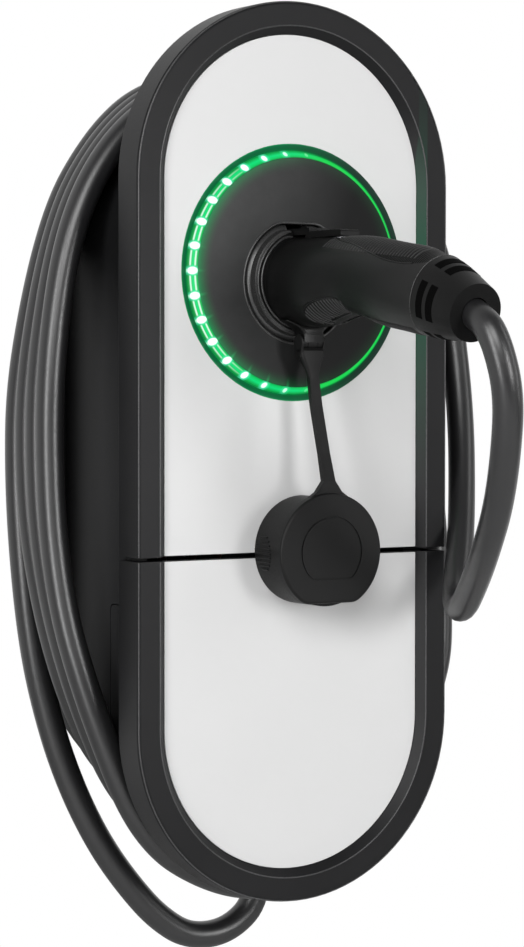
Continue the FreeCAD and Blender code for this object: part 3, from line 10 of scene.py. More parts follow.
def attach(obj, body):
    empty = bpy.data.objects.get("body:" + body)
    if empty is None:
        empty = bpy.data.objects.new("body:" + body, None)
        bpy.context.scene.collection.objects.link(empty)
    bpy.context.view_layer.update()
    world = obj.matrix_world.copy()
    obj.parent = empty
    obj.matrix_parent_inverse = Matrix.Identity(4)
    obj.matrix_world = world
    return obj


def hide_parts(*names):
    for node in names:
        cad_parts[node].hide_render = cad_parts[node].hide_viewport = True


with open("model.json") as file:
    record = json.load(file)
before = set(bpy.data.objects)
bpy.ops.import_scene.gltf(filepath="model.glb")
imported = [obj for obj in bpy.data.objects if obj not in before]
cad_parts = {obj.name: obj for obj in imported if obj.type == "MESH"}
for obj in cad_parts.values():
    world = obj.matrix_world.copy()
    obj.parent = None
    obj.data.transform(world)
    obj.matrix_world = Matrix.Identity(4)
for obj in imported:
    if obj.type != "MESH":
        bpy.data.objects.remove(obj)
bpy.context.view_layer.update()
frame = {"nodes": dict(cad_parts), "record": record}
nodes = frame["nodes"]
print("stage: frame loaded")

# The camera stands where the photograph's camera stood, in metres.
view = dict(place=(-0.76397, -1.35908, 0.04513), ahead=(0.52213, 0.85231, -0.03084), lens=108.46,
            sensor=36.0, shiftX=-0.0372, shiftY=-0.0213, roll=0.065, reach=60)


def addToScene(name, data):
    piece = bpy.data.objects.new(name, data)
    bpy.context.scene.collection.objects.link(piece)
    return piece


def makeCamera():
    data = bpy.data.cameras.new("camera")
    data.sensor_fit = "VERTICAL"
    data.sensor_height = view["sensor"]
    data.lens = view["lens"]
    data.shift_x = view["shiftX"]
    data.shift_y = view["shiftY"]
    data.clip_end = view["reach"]
    camera = addToScene("camera", data)
    turn = Vector(view["ahead"]).to_track_quat("-Z", "Y").to_matrix().to_4x4()
    roll = Matrix.Rotation(math.radians(view["roll"]), 4, "Z")
    camera.matrix_world = Matrix.Translation(view["place"]) @ turn @ roll
    bpy.context.scene.camera = camera


makeCamera()
bpy.context.scene.view_settings.view_transform = "Standard"
print("stage: camera")


def addObject(name, mesh, body, material):
    piece = addToScene(name, mesh)
    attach(piece, body)
    mesh.materials.append(material)


# Cable: one cord from the gland, round the neck, then the loop to the connector.
# Diameter and length are in metres, depths, pitch and routes in millimetres.
cable = dict(diameter=0.0145, length=4.5, turns=3, lastTurn=0.25, pointsPerTurn=36, rearY=-16.5,
             bottomY=-53.5, pitch=14.5, sideDip=8.5, lowDip=14.0, bottomDip=3, order=3, smoothness=10,
             roundness=7)

leadRoute = [
    (30.0, -24.5, -218.0), (30.0, -24.5, -245.0), (12.0, -22.6, -262.5), (-12.0, -20.4, -264.0),
    (-31.0, -18.9, -251.5), (-47.5, -17.7, -233.0), (-63.3, -17.0, -211.5), (-77.0, -16.6, -186.7),
    (-88.1, -16.4, -160.5), (-96.3, -16.4, -134.3), (-102.6, -16.5, -108.1), (-107.4, -16.5, -75.0),
    (-110.9, -16.5, -34.0),
]
tailRoute = [
    (9.2, -60.5, 195.8), (44.6, -60.5, 189.2), (76.6, -60.9, 171.6), (100.8, -61.8, 145.5),
    (115.4, -65.0, 113.0), (122.2, -70.1, 78.9), (122.6, -77.9, 43.9), (118.4, -88.6, 11.1),
    (109.0, -103.0, -20.4), (96.8, -119.7, -47.2), (79.0, -140.0, -77.5), (63.5, -168.6, -79.7),
    (49.5, -199.9, -62.4), (36.6, -227.1, -45.8), (26.1, -252.5, -22.9), (16.4, -272.2, 3.7),
    (8.2, -286.0, 32.0), (2.4, -284.6, 55.6), (0.0, -276.3, 67.7), (0.0, -259.9, 72.6),
]
rearLine = [
    (0, 195.6), (38, 187), (68, 164), (94, 118), (110, 58), (115, 0), (114, -55), (104, -112),
    (82, -158), (43, -184), (0, -192), (-40, -184), (-76, -158), (-98, -115), (-108.5, -58),
    (-111.5, 1), (-107.6, 52), (-91, 119), (-68, 160), (-39, 186),
]
frontLine = [
    (0, 195.6), (40, 187), (72, 164), (99, 118), (113, 58), (119, 0), (126.5, -90), (116, -138),
    (80, -190), (42, -216), (0, -226.6), (-38, -217.7), (-70, -191.2), (-96.4, -133), (-111.4, -73),
    (-115.4, 1), (-112.6, 62), (-100.6, 119), (-76, 160.5), (-41, 185.5),
]


def smoothLoop(line, t):
    # Catmull-Rom through a closed list, t from 0 to 1 clockwise from the top.
    count = len(line)
    spot = (t % 1.0) * count
    index = int(spot)
    u = spot - index
    p0, p1, p2, p3 = (line[(index + k) % count] for k in (-1, 0, 1, 2))
    out = []
    for a, b, c, d in zip(p0, p1, p2, p3):
        out.append(0.5 * (2 * b + (c - a) * u + (2 * a - 5 * b + 4 * c - d) * u * u + (3 * b - a - 3 * c + d) * u ** 3))
    return out


def eased(marks, value):
    # Smooth steps through a list of (place, value) marks.
    for (t0, y0), (t1, y1) in zip(marks, marks[1:]):
        if value <= t1:
            u = (value - t0) / (t1 - t0)
            u = u * u * (3 - 2 * u)
            return y0 + (y1 - y0) * u
    return marks[-1][1]


def strandDepth(progress):
    # Y of the strand after that many turns from the middle of the left side.
    turn = math.floor(progress)
    base = cable["rearY"] - cable["pitch"] * turn
    low = cable["bottomY"] - cable["pitch"] * turn
    after = base - cable["pitch"]
    marks = [(0.0, base), (0.25, base), (0.5, base - cable["sideDip"]), (0.62, base - cable["lowDip"]),
             (0.75, low), (0.88, (low + after) / 2 - cable["bottomDip"]), (1.0, after)]
    return eased(marks, progress - turn)


# Share of the way from the rear line to the front line, by turns.
strandShares = [(0, 0), (0.75, 0), (1, 1 / 3), (1.25, 1 / 3), (1.5, 0.5), (1.75, 0.5), (2, 2 / 3),
                (2.25, 2 / 3), (2.5, 1), (3.5, 1)]


def strandPoint(progress):
    # progress 0 is the left side of the rear strand; the lines start at the top.
    share = eased(strandShares, max(0, progress))
    rear = smoothLoop(rearLine, progress - 0.25)
    front = smoothLoop(frontLine, progress - 0.25)
    x, z = (a * (1 - share) + b * share for a, b in zip(rear, front))
    return np.array([x, strandDepth(progress), z])


def coilPoints():
    count = cable["pointsPerTurn"]
    total = int(cable["turns"] * count + cable["lastTurn"] * count)
    raw = [strandPoint(index / count) for index in range(-1, total + 1)]
    points = []
    for index in range(1, len(raw) - 1):
        bend = raw[index - 1] - 2 * raw[index] + raw[index + 1]
        points.append(raw[index] - bend / 8)
    return points


def makeCable():
    route = [Vector(p) / 1000 for p in leadRoute + coilPoints() + tailRoute]
    curve = bpy.data.curves.new("cable", "CURVE")
    curve.dimensions = "3D"
    spline = curve.splines.new("NURBS")
    spline.points.add(len(route) - 1)
    for point, place in zip(spline.points, route):
        point.co = (*place, 1)
        point.radius = cable["diameter"] / 2  # keeps the curve's own box as small as its tube
    spline.order_u = cable["order"]
    spline.use_endpoint_u = True
    spline.resolution_u = cable["smoothness"]
    curve.resolution_u = cable["smoothness"]
    curve.bevel_depth = 1.0
    curve.bevel_resolution = cable["roundness"]
    curve.use_fill_caps = True
    piece = addToScene("cable", curve)
    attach(piece, "charger")
    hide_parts("cable_lead", "cable_coil", "cable_tail")
    return piece


cablePiece = makeCable()
print("stage: cable")


# Shader helpers. Those that add one node give back its main output.
def newMaterial(name):
    material = bpy.data.materials.new(name)
    material.use_nodes = True
    tree = material.node_tree
    shader = tree.nodes["Principled BSDF"]
    coords = tree.nodes.new("ShaderNodeTexCoord")
    return material, tree, shader, coords


def setInputs(node, values):
    for key, value in values.items():
        node.inputs[key].default_value = value


def splitPlaces(tree):
    coords = tree.nodes.new("ShaderNodeTexCoord")
    split = tree.nodes.new("ShaderNodeSeparateXYZ")
    tree.links.new(coords.outputs["Object"], split.inputs[0])
    return split.outputs


def addNoise(tree, coords, scale, detail, roughness=0.55):
    noise = tree.nodes.new("ShaderNodeTexNoise")
    setInputs(noise, {"Scale": scale, "Detail": detail, "Roughness": roughness})
    tree.links.new(coords.outputs["Object"], noise.inputs["Vector"])
    return noise.outputs["Fac"]


def addRamp(tree, source, stops):
    ramp = tree.nodes.new("ShaderNodeValToRGB")
    tree.links.new(source, ramp.inputs["Fac"])
    elements = ramp.color_ramp.elements
    while len(elements) < len(stops):
        elements.new(0.5)
    for element, (place, colour) in zip(elements, stops):
        element.position = place
        element.color = (*colour, 1)
    return ramp.outputs["Color"]


def addRange(tree, source, low, high, fromLow=0.0, fromHigh=1.0):
    mapper = tree.nodes.new("ShaderNodeMapRange")
    setInputs(mapper, {"From Min": fromLow, "From Max": fromHigh, "To Min": low, "To Max": high})
    tree.links.new(source, mapper.inputs["Value"])
    return mapper.outputs["Result"]


def addBump(tree, shader, height, strength, distance):
    bump = tree.nodes.new("ShaderNodeBump")
    setInputs(bump, {"Strength": strength, "Distance": distance})
    tree.links.new(height, bump.inputs["Height"])
    tree.links.new(bump.outputs["Normal"], shader.inputs["Normal"])
    return bump


def addMath(tree, operation, first, second=None):
    node = tree.nodes.new("ShaderNodeMath")
    node.operation = operation
    for socket, value in zip(node.inputs, (first, second)):
        if value is None:
            continue
        if isinstance(value, (int, float)):
            socket.default_value = value
        else:
            tree.links.new(value, socket)
    return node.outputs[0]


def multiply(tree, first, second):
    return addMath(tree, "MULTIPLY", first, second)


def addMix(tree, factor, first, second):
    mix = tree.nodes.new("ShaderNodeMix")
    mix.data_type = "RGBA"
    tree.links.new(factor, mix.inputs["Factor"])
    for key, value in (("A", first), ("B", second)):
        if isinstance(value, tuple):
            mix.inputs[key].default_value = (*value, 1)
        else:
            tree.links.new(value, mix.inputs[key])
    return mix.outputs["Result"]


def addSockets(group, direction, kind, *names):
    for name in names:
        group.interface.new_socket(name=name, in_out=direction, socket_type="NodeSocket" + kind)


# Moulded surfaces: soft clouding, fine grain in the sheen and a shallow texture.
surface = dict(cloudScale=14, cloudDetail=3, cloudRange=(0, 1, 0.35, 0.65), grainScale=1800,
               grainDetail=2, grainRange=(0, 1, 0.3, 0.7), roughSpread=0.06, coatRough=0.22)


def makeGrainGroup():
    group = bpy.data.node_groups.new("surfaceGrain", "ShaderNodeTree")
    addSockets(group, "INPUT", "Color", "Low Color", "High Color")
    addSockets(group, "INPUT", "Float", "Cloud Scale", "Grain Scale", "Rough Low", "Rough High",
               "Bump Strength", "Bump Distance")
    addSockets(group, "OUTPUT", "Color", "Color")
    addSockets(group, "OUTPUT", "Float", "Roughness")
    addSockets(group, "OUTPUT", "Vector", "Normal")
    entry = group.nodes.new("NodeGroupInput")
    leave = group.nodes.new("NodeGroupOutput")
    coords = group.nodes.new("ShaderNodeTexCoord")
    cloud = addNoise(group, coords, surface["cloudScale"], surface["cloudDetail"])
    fine = addNoise(group, coords, surface["grainScale"], surface["grainDetail"])
    spread = addRange(group, cloud, *surface["cloudRange"])
    rough = addRange(group, fine, *surface["grainRange"])
    mix = group.nodes.new("ShaderNodeMix")
    mix.data_type = "RGBA"
    bump = group.nodes.new("ShaderNodeBump")
    given = {"Cloud Scale": cloud.node.inputs["Scale"], "Grain Scale": fine.node.inputs["Scale"],
             "Low Color": mix.inputs["A"], "High Color": mix.inputs["B"],
             "Rough Low": rough.node.inputs["To Min"], "Rough High": rough.node.inputs["To Max"],
             "Bump Strength": bump.inputs["Strength"], "Bump Distance": bump.inputs["Distance"]}
    for name, socket in given.items():
        group.links.new(entry.outputs[name], socket)
    group.links.new(spread, mix.inputs["Factor"])
    group.links.new(fine, bump.inputs["Height"])
    group.links.new(mix.outputs["Result"], leave.inputs["Color"])
    group.links.new(rough, leave.inputs["Roughness"])
    group.links.new(bump.outputs["Normal"], leave.inputs["Normal"])
    return group


grainGroup = makeGrainGroup()


def plasticMaterial(name, colour, rough, grain=1800, bump=0.12, spread=0.12, specular=0.3,
                    metallic=0.0, depth=0.0001, coat=0.0):
    material, tree, shader, coords = newMaterial(name)
    tree.nodes.remove(coords)
    grainNode = tree.nodes.new("ShaderNodeGroup")
    grainNode.node_tree = grainGroup
    setInputs(grainNode, {
        "Low Color": (*(c * (1 - spread) for c in colour), 1),
        "High Color": (*(min(1, c * (1 + spread)) for c in colour), 1),
        "Cloud Scale": surface["cloudScale"], "Grain Scale": grain,
        "Rough Low": rough - surface["roughSpread"], "Rough High": rough + surface["roughSpread"],
        "Bump Strength": bump, "Bump Distance": depth})
    for key, target in (("Color", "Base Color"), ("Roughness", "Roughness"), ("Normal", "Normal")):
        tree.links.new(grainNode.outputs[key], shader.inputs[target])
    setInputs(shader, {"Specular IOR Level": specular, "Metallic": metallic, "Coat Weight": coat,
                       "Coat Roughness": surface["coatRough"]})
    return material


slotLooks = dict(
    black_plastic=dict(colour=(0.008, 0.008, 0.0085), rough=0.42, grain=2600, bump=0.22, specular=0.16),
    white_panel=dict(colour=(0.49, 0.49, 0.49), rough=0.38, grain=900, bump=0.02, spread=0.006, specular=0.4),
    seal_rubber=dict(colour=(0.015, 0.015, 0.015), rough=0.7),
    screw_steel=dict(colour=(0.55, 0.55, 0.53), rough=0.35, metallic=1.0, spread=0.06),
    zinc_steel=dict(colour=(0.58, 0.59, 0.6), rough=0.4, metallic=1.0, grain=300, bump=0.08, spread=0.1),
    circuit_board=dict(colour=(0.01, 0.09, 0.035), rough=0.35, coat=0.3),
    relay_case=dict(colour=(0.015, 0.02, 0.05), rough=0.4),
    winding_tape=dict(colour=(0.5, 0.33, 0.03), rough=0.45),
    capacitor_sleeve=dict(colour=(0.015, 0.015, 0.02), rough=0.25),
    shield_can=dict(colour=(0.6, 0.6, 0.61), rough=0.3, metallic=1.0),
    terminal_grey=dict(colour=(0.12, 0.125, 0.13), rough=0.5),
    wire_insulation=dict(colour=(0.16, 0.03, 0.012), rough=0.45),
    brass_bar=dict(colour=(0.62, 0.42, 0.13), rough=0.3, metallic=1.0),
    gland_plastic=dict(colour=(0.016, 0.016, 0.017), rough=0.5),
    connector_plastic=dict(colour=(0.0035, 0.0035, 0.0035), rough=0.34, grain=2600, bump=0.15, specular=0.2),
    # Paler than the black plastic: painted highlight for thin rims and the collar.
    rim_painted_highlight=dict(colour=(0.022, 0.022, 0.022), rough=0.3, specular=0.55),
    # Paler than the grip: painted highlight on the crests of its ribs.
    rib_painted_highlight=dict(colour=(0.02, 0.02, 0.02), rough=0.4, specular=0.4, grain=1500, bump=0.15),
    slot_shade=dict(colour=(0.0012, 0.0012, 0.0012), rough=0.7, specular=0.02),
    # Paler than the frame: painted highlight along its edges.
    edge_painted_highlight=dict(colour=(0.035, 0.035, 0.036), rough=0.3, specular=0.5),
    carrier_plastic=dict(colour=(0.02, 0.02, 0.02), rough=0.4),
    contact_silver=dict(colour=(0.75, 0.73, 0.7), rough=0.22, metallic=1.0),
    grip_rubber=dict(colour=(0.002, 0.002, 0.002), rough=0.5, specular=0.12, grain=1500, bump=0.2),
    pin_steel=dict(colour=(0.5, 0.5, 0.5), rough=0.3, metallic=1.0),
    spring_steel=dict(colour=(0.4, 0.4, 0.42), rough=0.3, metallic=1.0),
    boot_rubber=dict(colour=(0.004, 0.004, 0.004), rough=0.42, specular=0.11, grain=1500, bump=0.2),
    cap_rubber=dict(colour=(0.006, 0.006, 0.006), rough=0.46, specular=0.15, grain=1500, bump=0.2),
    cable_jacket=dict(colour=(0.008, 0.008, 0.0085), rough=0.36, specular=0.68, grain=1600, bump=0.05),
    led_lens=dict(colour=(0.02, 0.5, 0.16), rough=0.3),
)
materials = {name: plasticMaterial(name, **look) for name, look in slotLooks.items()}


# Light ring parts: colour by distance from the ring's axis and by height, in metres.
ring = dict(centreZ=0.0926, discRadius=0.0587, bandOuter=0.0625, holeRadius=0.06595,
            lampRadius=0.0606, count=30, spotRadius=0.0018, slotShift=0.0009)


def makeLampGroup():
    # Radius from the ring's axis, share to the right and upward, way along it to the nearest lamp.
    group = bpy.data.node_groups.new("lampField", "ShaderNodeTree")
    addSockets(group, "INPUT", "Float", "Centre Height", "Lamp Count", "Lamp Radius")
    addSockets(group, "OUTPUT", "Float", "Radius", "Sideways", "Upward", "Along")
    entry = group.nodes.new("NodeGroupInput")
    leave = group.nodes.new("NodeGroupOutput")
    places = splitPlaces(group)

    def calc(operation, first, second=None):
        return addMath(group, operation, first, second)

    across = places["X"]
    height = calc("SUBTRACT", places["Z"], entry.outputs["Centre Height"])
    radius = calc("SQRT", calc("ADD", calc("POWER", across, 2), calc("POWER", height, 2)))
    turned = calc("MULTIPLY", calc("ARCTAN2", height, across), entry.outputs["Lamp Count"])
    steps = calc("DIVIDE", turned, 2 * math.pi)
    offset = calc("ABSOLUTE", calc("SUBTRACT", calc("FRACT", calc("ADD", steps, 0.5)), 0.5))
    girth = calc("MULTIPLY", entry.outputs["Lamp Radius"], 2 * math.pi)
    arc = calc("DIVIDE", girth, entry.outputs["Lamp Count"])
    results = {"Radius": radius, "Sideways": calc("DIVIDE", across, radius),
               "Upward": calc("DIVIDE", height, radius), "Along": calc("MULTIPLY", offset, arc)}
    for name, value in results.items():
        group.links.new(value, leave.inputs[name])
    return group


lampGroup = makeLampGroup()


def lampNodes(tree):
    node = tree.nodes.new("ShaderNodeGroup")
    node.node_tree = lampGroup
    setInputs(node, {"Centre Height": ring["centreZ"], "Lamp Count": ring["count"],
                     "Lamp Radius": ring["lampRadius"]})
    return [node.outputs[name] for name in ("Radius", "Sideways", "Upward", "Along")]


def addFinish(tree, shader, coords, look):
    # Fine noise in the sheen of the ring's parts; gives back its height.
    height = addNoise(tree, coords, look["grain"], surface["grainDetail"])
    tree.links.new(addRange(tree, height, *look["rough"]), shader.inputs["Roughness"])
    setInputs(shader, {"Specular IOR Level": look["specular"], "Emission Strength": look["strength"]})
    return height


# Spans run over the share to the right, from -1 at the left to 1, unless a note says otherwise.
disc = dict(glowStart=0.0505, glowFall=2.2, glowSpan=(-0.85, 0.1), glowLeast=0.12, glowLevel=0.25,
            rayWidth=0.0011, rayStart=0.0535, rayFall=1.6, rayLevel=0.55, cornerSpan=(-1.42, -0.6),
            slant=0.35, highlightSpan=(-0.02, 0.055), highlightNoise=(38, 5, 0.7), highlightRange=(0.8, 1.2, 0.3, 0.7),
            # Of the three colours below, the second is a painted highlight for the left side and the third is the
            # ring's green light painted into the colour.
            dark=(0.003, 0.0031, 0.0031), highlightColour=(0.04, 0.0405, 0.0405), greenLightTint=(0.012, 0.085, 0.035),
            light=(0.02, 0.8, 0.22), strength=0.6, grain=1600, rough=(0.36, 0.48), bump=0.2,
            bumpDepth=0.0001, specular=0.12)


def makeDiscMaterial():
    # Black disc: the lamps' green light is painted on it as glow fading inwards from its rim, with painted glints as
    # short rays beside each lamp, a painted green cast in its colour near the rim and a painted highlight on its left
    # side.
    material, tree, shader, coords = newMaterial("disc_gloss")
    radius, sideways, upward, along = lampNodes(tree)
    glow = addRange(tree, radius, 0, 1, disc["glowStart"], ring["discRadius"])
    reach = addRange(tree, sideways, 1, disc["glowLeast"], *disc["glowSpan"])
    level = multiply(tree, addMath(tree, "POWER", glow, disc["glowFall"]), reach)
    beam = addRange(tree, along, 1, 0, 0.0, disc["rayWidth"])
    rayReach = addRange(tree, radius, 0, 1, disc["rayStart"], ring["discRadius"])
    # The corner's span runs over the sum of both shares, lowest at the lower left.
    corner = addRange(tree, addMath(tree, "ADD", sideways, upward), 1, 0, *disc["cornerSpan"])
    rays = multiply(tree, multiply(tree, beam, addMath(tree, "POWER", rayReach, disc["rayFall"])),
                    multiply(tree, corner, disc["rayLevel"]))
    # The painted highlight on the disc's left side, paler in patches; its span is in metres across a slanting line.
    across = multiply(tree, sideways, radius)
    rise = multiply(tree, upward, radius)
    side = addMath(tree, "SUBTRACT", multiply(tree, rise, disc["slant"]), across)
    highlightSide = addRange(tree, side, 0, 1, *disc["highlightSpan"])
    highlightPatches = addRange(tree, addNoise(tree, coords, *disc["highlightNoise"]), *disc["highlightRange"])
    highlightedBase = addMix(tree, multiply(tree, highlightSide, highlightPatches), disc["dark"], disc["highlightColour"])
    # The disc's colour turns green towards its rim: the ring's light painted into it.
    tree.links.new(addMix(tree, level, highlightedBase, disc["greenLightTint"]), shader.inputs["Base Color"])
    total = addMath(tree, "ADD", multiply(tree, level, disc["glowLevel"]), rays)
    light = addMix(tree, addMath(tree, "MINIMUM", total, 1.0), (0, 0, 0), disc["light"])
    tree.links.new(light, shader.inputs["Emission Color"])
    height = addFinish(tree, shader, coords, disc)
    addBump(tree, shader, height, disc["bump"], disc["bumpDepth"])
    return material


# Light guide, with edges and starts in metres.
band = dict(spotLeast=0.55, spotSpan=(0.0, -0.7), spotEdge=(0.75, 1.2), slotEdge=(0.0001, 0.00045),
            slotStart=(0.0020, 0.0030), slotSpan=(-0.9, -0.45), slotColour=(0.75, 1.0, 0.86),
            brightSpan=(-0.45, 0.1), hazeLevel=0.75, hazeReach=(0.85, 1.7), hazeColour=(0.1, 1.0, 0.6),
            litSpan=(-0.05, 0.2), rightSpan=(0.0, 0.3), dimSpot=(0.0, 0.75, 0.3), fullSpot=(1.0, 1.0, 1.0),
            leftStops=[(0.0, (0.0, 0.34, 0.06)), (0.2, (0.0, 0.6, 0.13)), (0.5, (0.0, 0.72, 0.19)),
                       (0.8, (0.0, 0.42, 0.08)), (1.0, (0.0, 0.22, 0.04))],
            rightStops=[(0.0, (0.0, 0.3, 0.04)), (0.15, (0.0, 0.66, 0.07)), (0.62, (0.0, 0.62, 0.07)),
                        (0.8, (0.0, 0.16, 0.03)), (1.0, (0.0, 0.07, 0.02))],
            base=(0.004, 0.03, 0.01), spotBase=(0.3, 0.35, 0.32), strength=1.0, specular=0.1, grain=700,
            rough=(0.3, 0.45))


def makeBandMaterial():
    # White spot over each lamp, two green slots between lamps, plain green on the right.
    material, tree, shader, coords = newMaterial("light_guide")
    radius, sideways, upward, along = lampNodes(tree)
    out = addMath(tree, "SUBTRACT", radius, ring["lampRadius"])
    squares = addMath(tree, "ADD", addMath(tree, "POWER", out, 2), addMath(tree, "POWER", along, 2))
    far = addMath(tree, "SQRT", squares)
    least = ring["spotRadius"] * band["spotLeast"]
    size = addRange(tree, sideways, least, ring["spotRadius"], *band["spotSpan"])
    spot = addRange(tree, addMath(tree, "DIVIDE", far, size), 1, 0, *band["spotEdge"])
    across = addRange(tree, radius, 0, 1, ring["discRadius"], ring["bandOuter"])
    fromSlot = addMath(tree, "SUBTRACT", addMath(tree, "ABSOLUTE", out), ring["slotShift"])
    slotLine = addRange(tree, addMath(tree, "ABSOLUTE", fromSlot), 1, 0, *band["slotEdge"])
    away = addRange(tree, along, 0, 1, *band["slotStart"])
    leftSide = addRange(tree, sideways, 1, 0, *band["slotSpan"])
    slotMask = multiply(tree, multiply(tree, slotLine, away), leftSide)
    guide = addMix(tree, slotMask, addRamp(tree, across, band["leftStops"]), band["slotColour"])
    bright = addRange(tree, sideways, 1, 0, *band["brightSpan"])
    hazeStart, hazeStop = (ring["spotRadius"] * share for share in band["hazeReach"])
    glow = addRange(tree, far, band["hazeLevel"], 0, hazeStart, hazeStop)
    haze = addMix(tree, multiply(tree, glow, bright), guide, band["hazeColour"])
    spotLight = multiply(tree, spot, addRange(tree, sideways, 1, 0, *band["litSpan"]))
    white = addMix(tree, bright, band["dimSpot"], band["fullSpot"])
    lit = addMix(tree, spotLight, haze, white)
    right = addRange(tree, sideways, 0, 1, *band["rightSpan"])
    colour = addMix(tree, right, lit, addRamp(tree, across, band["rightStops"]))
    tree.links.new(colour, shader.inputs["Emission Color"])
    tree.links.new(addMix(tree, spotLight, band["base"], band["spotBase"]), shader.inputs["Base Color"])
    addFinish(tree, shader, coords, band)
    return material


channel = dict(leftStops=[(0.0, (0.0, 0.16, 0.035)), (0.3, (0.0, 0.085, 0.022)), (0.75, (0.0, 0.1, 0.03)),
                          (0.92, (0.005, 0.22, 0.075)), (1.0, (0.02, 0.3, 0.11))],
               rightStops=[(0.0, (0.0, 0.06, 0.018)), (0.4, (0.005, 0.018, 0.012)), (1.0, (0.01, 0.03, 0.02))],
               rightSpan=(-0.1, 0.6), leftBase=(0.004, 0.03, 0.015), rightBase=(0.008, 0.016, 0.012),
               strength=1.0, specular=0.1, grain=700, rough=(0.15, 0.3))


def makeChannelMaterial():
    # Glossy dark channel: the ring's green light is painted on it as emission near the guide, with a painted highlight
    # line at the panel's edge; it is painted greener on the left than on the right.
    material, tree, shader, coords = newMaterial("channel_plastic")
    radius, sideways, upward, along = lampNodes(tree)
    across = addRange(tree, radius, 0, 1, ring["bandOuter"], ring["holeRadius"])
    right = addRange(tree, sideways, 0, 1, *channel["rightSpan"])
    channelGlow = addMix(tree, right, addRamp(tree, across, channel["leftStops"]),
                  addRamp(tree, across, channel["rightStops"]))
    base = addMix(tree, right, channel["leftBase"], channel["rightBase"])
    tree.links.new(base, shader.inputs["Base Color"])
    # Emission: the ring's light painted on the channel.
    tree.links.new(channelGlow, shader.inputs["Emission Color"])
    addFinish(tree, shader, coords, channel)
    return material


gripRows = dict(pitch=0.0012, depth=0.00012, edge=(-0.5, 0.6))


def addRibs(material):
    # Rows of fine ribs across the grip, on top of the grain.
    tree = material.node_tree
    shader = tree.nodes["Principled BSDF"]
    along = multiply(tree, splitPlaces(tree)["Y"], 2 * math.pi / gripRows["pitch"])
    rows = addRange(tree, addMath(tree, "SINE", along), 0, 1, *gripRows["edge"])
    bump = addBump(tree, shader, rows, 1.0, gripRows["depth"])
    grainNode = next(node for node in tree.nodes if node.type == "GROUP")
    tree.links.new(grainNode.outputs["Normal"], bump.inputs["Normal"])


addRibs(materials["grip_rubber"])
materials["disc_gloss"] = makeDiscMaterial()
materials["light_guide"] = makeBandMaterial()
materials["channel_plastic"] = makeChannelMaterial()
print("stage: materials", len(materials))

# The ring's green light on the frame's inner slope at the right, in metres.
spill = dict(startX=0.0745, stopX=0.0798, softX=0.0006, centreZ=0.0926, reachZ=0.115, fall=1.5,
             frontY=(-0.1045, -0.1035), colour=(0.002, 0.075, 0.035))


def addGreenSpill(material):
    tree = material.node_tree
    shader = tree.nodes["Principled BSDF"]
    places = splitPlaces(tree)
    x = places["X"]
    inside = addRange(tree, x, 0, 1, spill["startX"], spill["startX"] + spill["softX"])
    outside = addRange(tree, x, 1, 0, spill["stopX"], spill["stopX"] + spill["softX"])
    height = addMath(tree, "ABSOLUTE", addMath(tree, "SUBTRACT", places["Z"], spill["centreZ"]))
    reach = addMath(tree, "POWER", addRange(tree, height, 1, 0, 0.0, spill["reachZ"]), spill["fall"])
    front = addRange(tree, places["Y"], 1, 0, *spill["frontY"])
    mask = multiply(tree, multiply(tree, inside, outside), multiply(tree, reach, front))
    light = addMix(tree, mask, (0, 0, 0), spill["colour"])
    tree.links.new(light, shader.inputs["Emission Color"])
    shader.inputs["Emission Strength"].default_value = 1.0


addGreenSpill(materials["black_plastic"])

slotOf = {entry["node"]: entry["material_slot"] for entry in frame["record"]["subparts"]}
for name, piece in nodes.items():
    if piece.type == "MESH":
        piece.data.materials.clear()
        piece.data.materials.append(materials[slotOf[name]])
cablePiece.data.materials.append(materials["cable_jacket"])


# Raised ribs and rims that follow the moulded surfaces: lines laid on the surface, then swept round.
def makeRibGroup():
    group = bpy.data.node_groups.new("sweptRibs", "GeometryNodeTree")
    addSockets(group, "INPUT", "Geometry", "Geometry")
    addSockets(group, "INPUT", "Float", "Radius")
    addSockets(group, "INPUT", "Material", "Material")
    addSockets(group, "OUTPUT", "Geometry", "Geometry")
    entry = group.nodes.new("NodeGroupInput")
    leave = group.nodes.new("NodeGroupOutput")
    lines = group.nodes.new("GeometryNodeMeshToCurve")
    profile = group.nodes.new("GeometryNodeCurvePrimitiveCircle")
    profile.inputs["Resolution"].default_value = 8
    sweep = group.nodes.new("GeometryNodeCurveToMesh")
    sweep.inputs["Fill Caps"].default_value = True
    smooth = group.nodes.new("GeometryNodeSetShadeSmooth")
    real = group.nodes.new("GeometryNodeRealizeInstances")
    paint = group.nodes.new("GeometryNodeSetMaterial")
    links = [(entry, "Geometry", lines, "Mesh"), (entry, "Radius", profile, "Radius"),
             (lines, "Curve", sweep, "Curve"), (profile, "Curve", sweep, "Profile Curve"),
             (sweep, "Mesh", smooth, "Geometry"), (smooth, "Geometry", real, "Geometry"),
             (real, "Geometry", paint, "Geometry"), (entry, "Material", paint, "Material"),
             (paint, "Geometry", leave, "Geometry")]
    for source, output, target, entrance in links:
        group.links.new(source.outputs[output], target.inputs[entrance])
    return group


ribGroup = makeRibGroup()


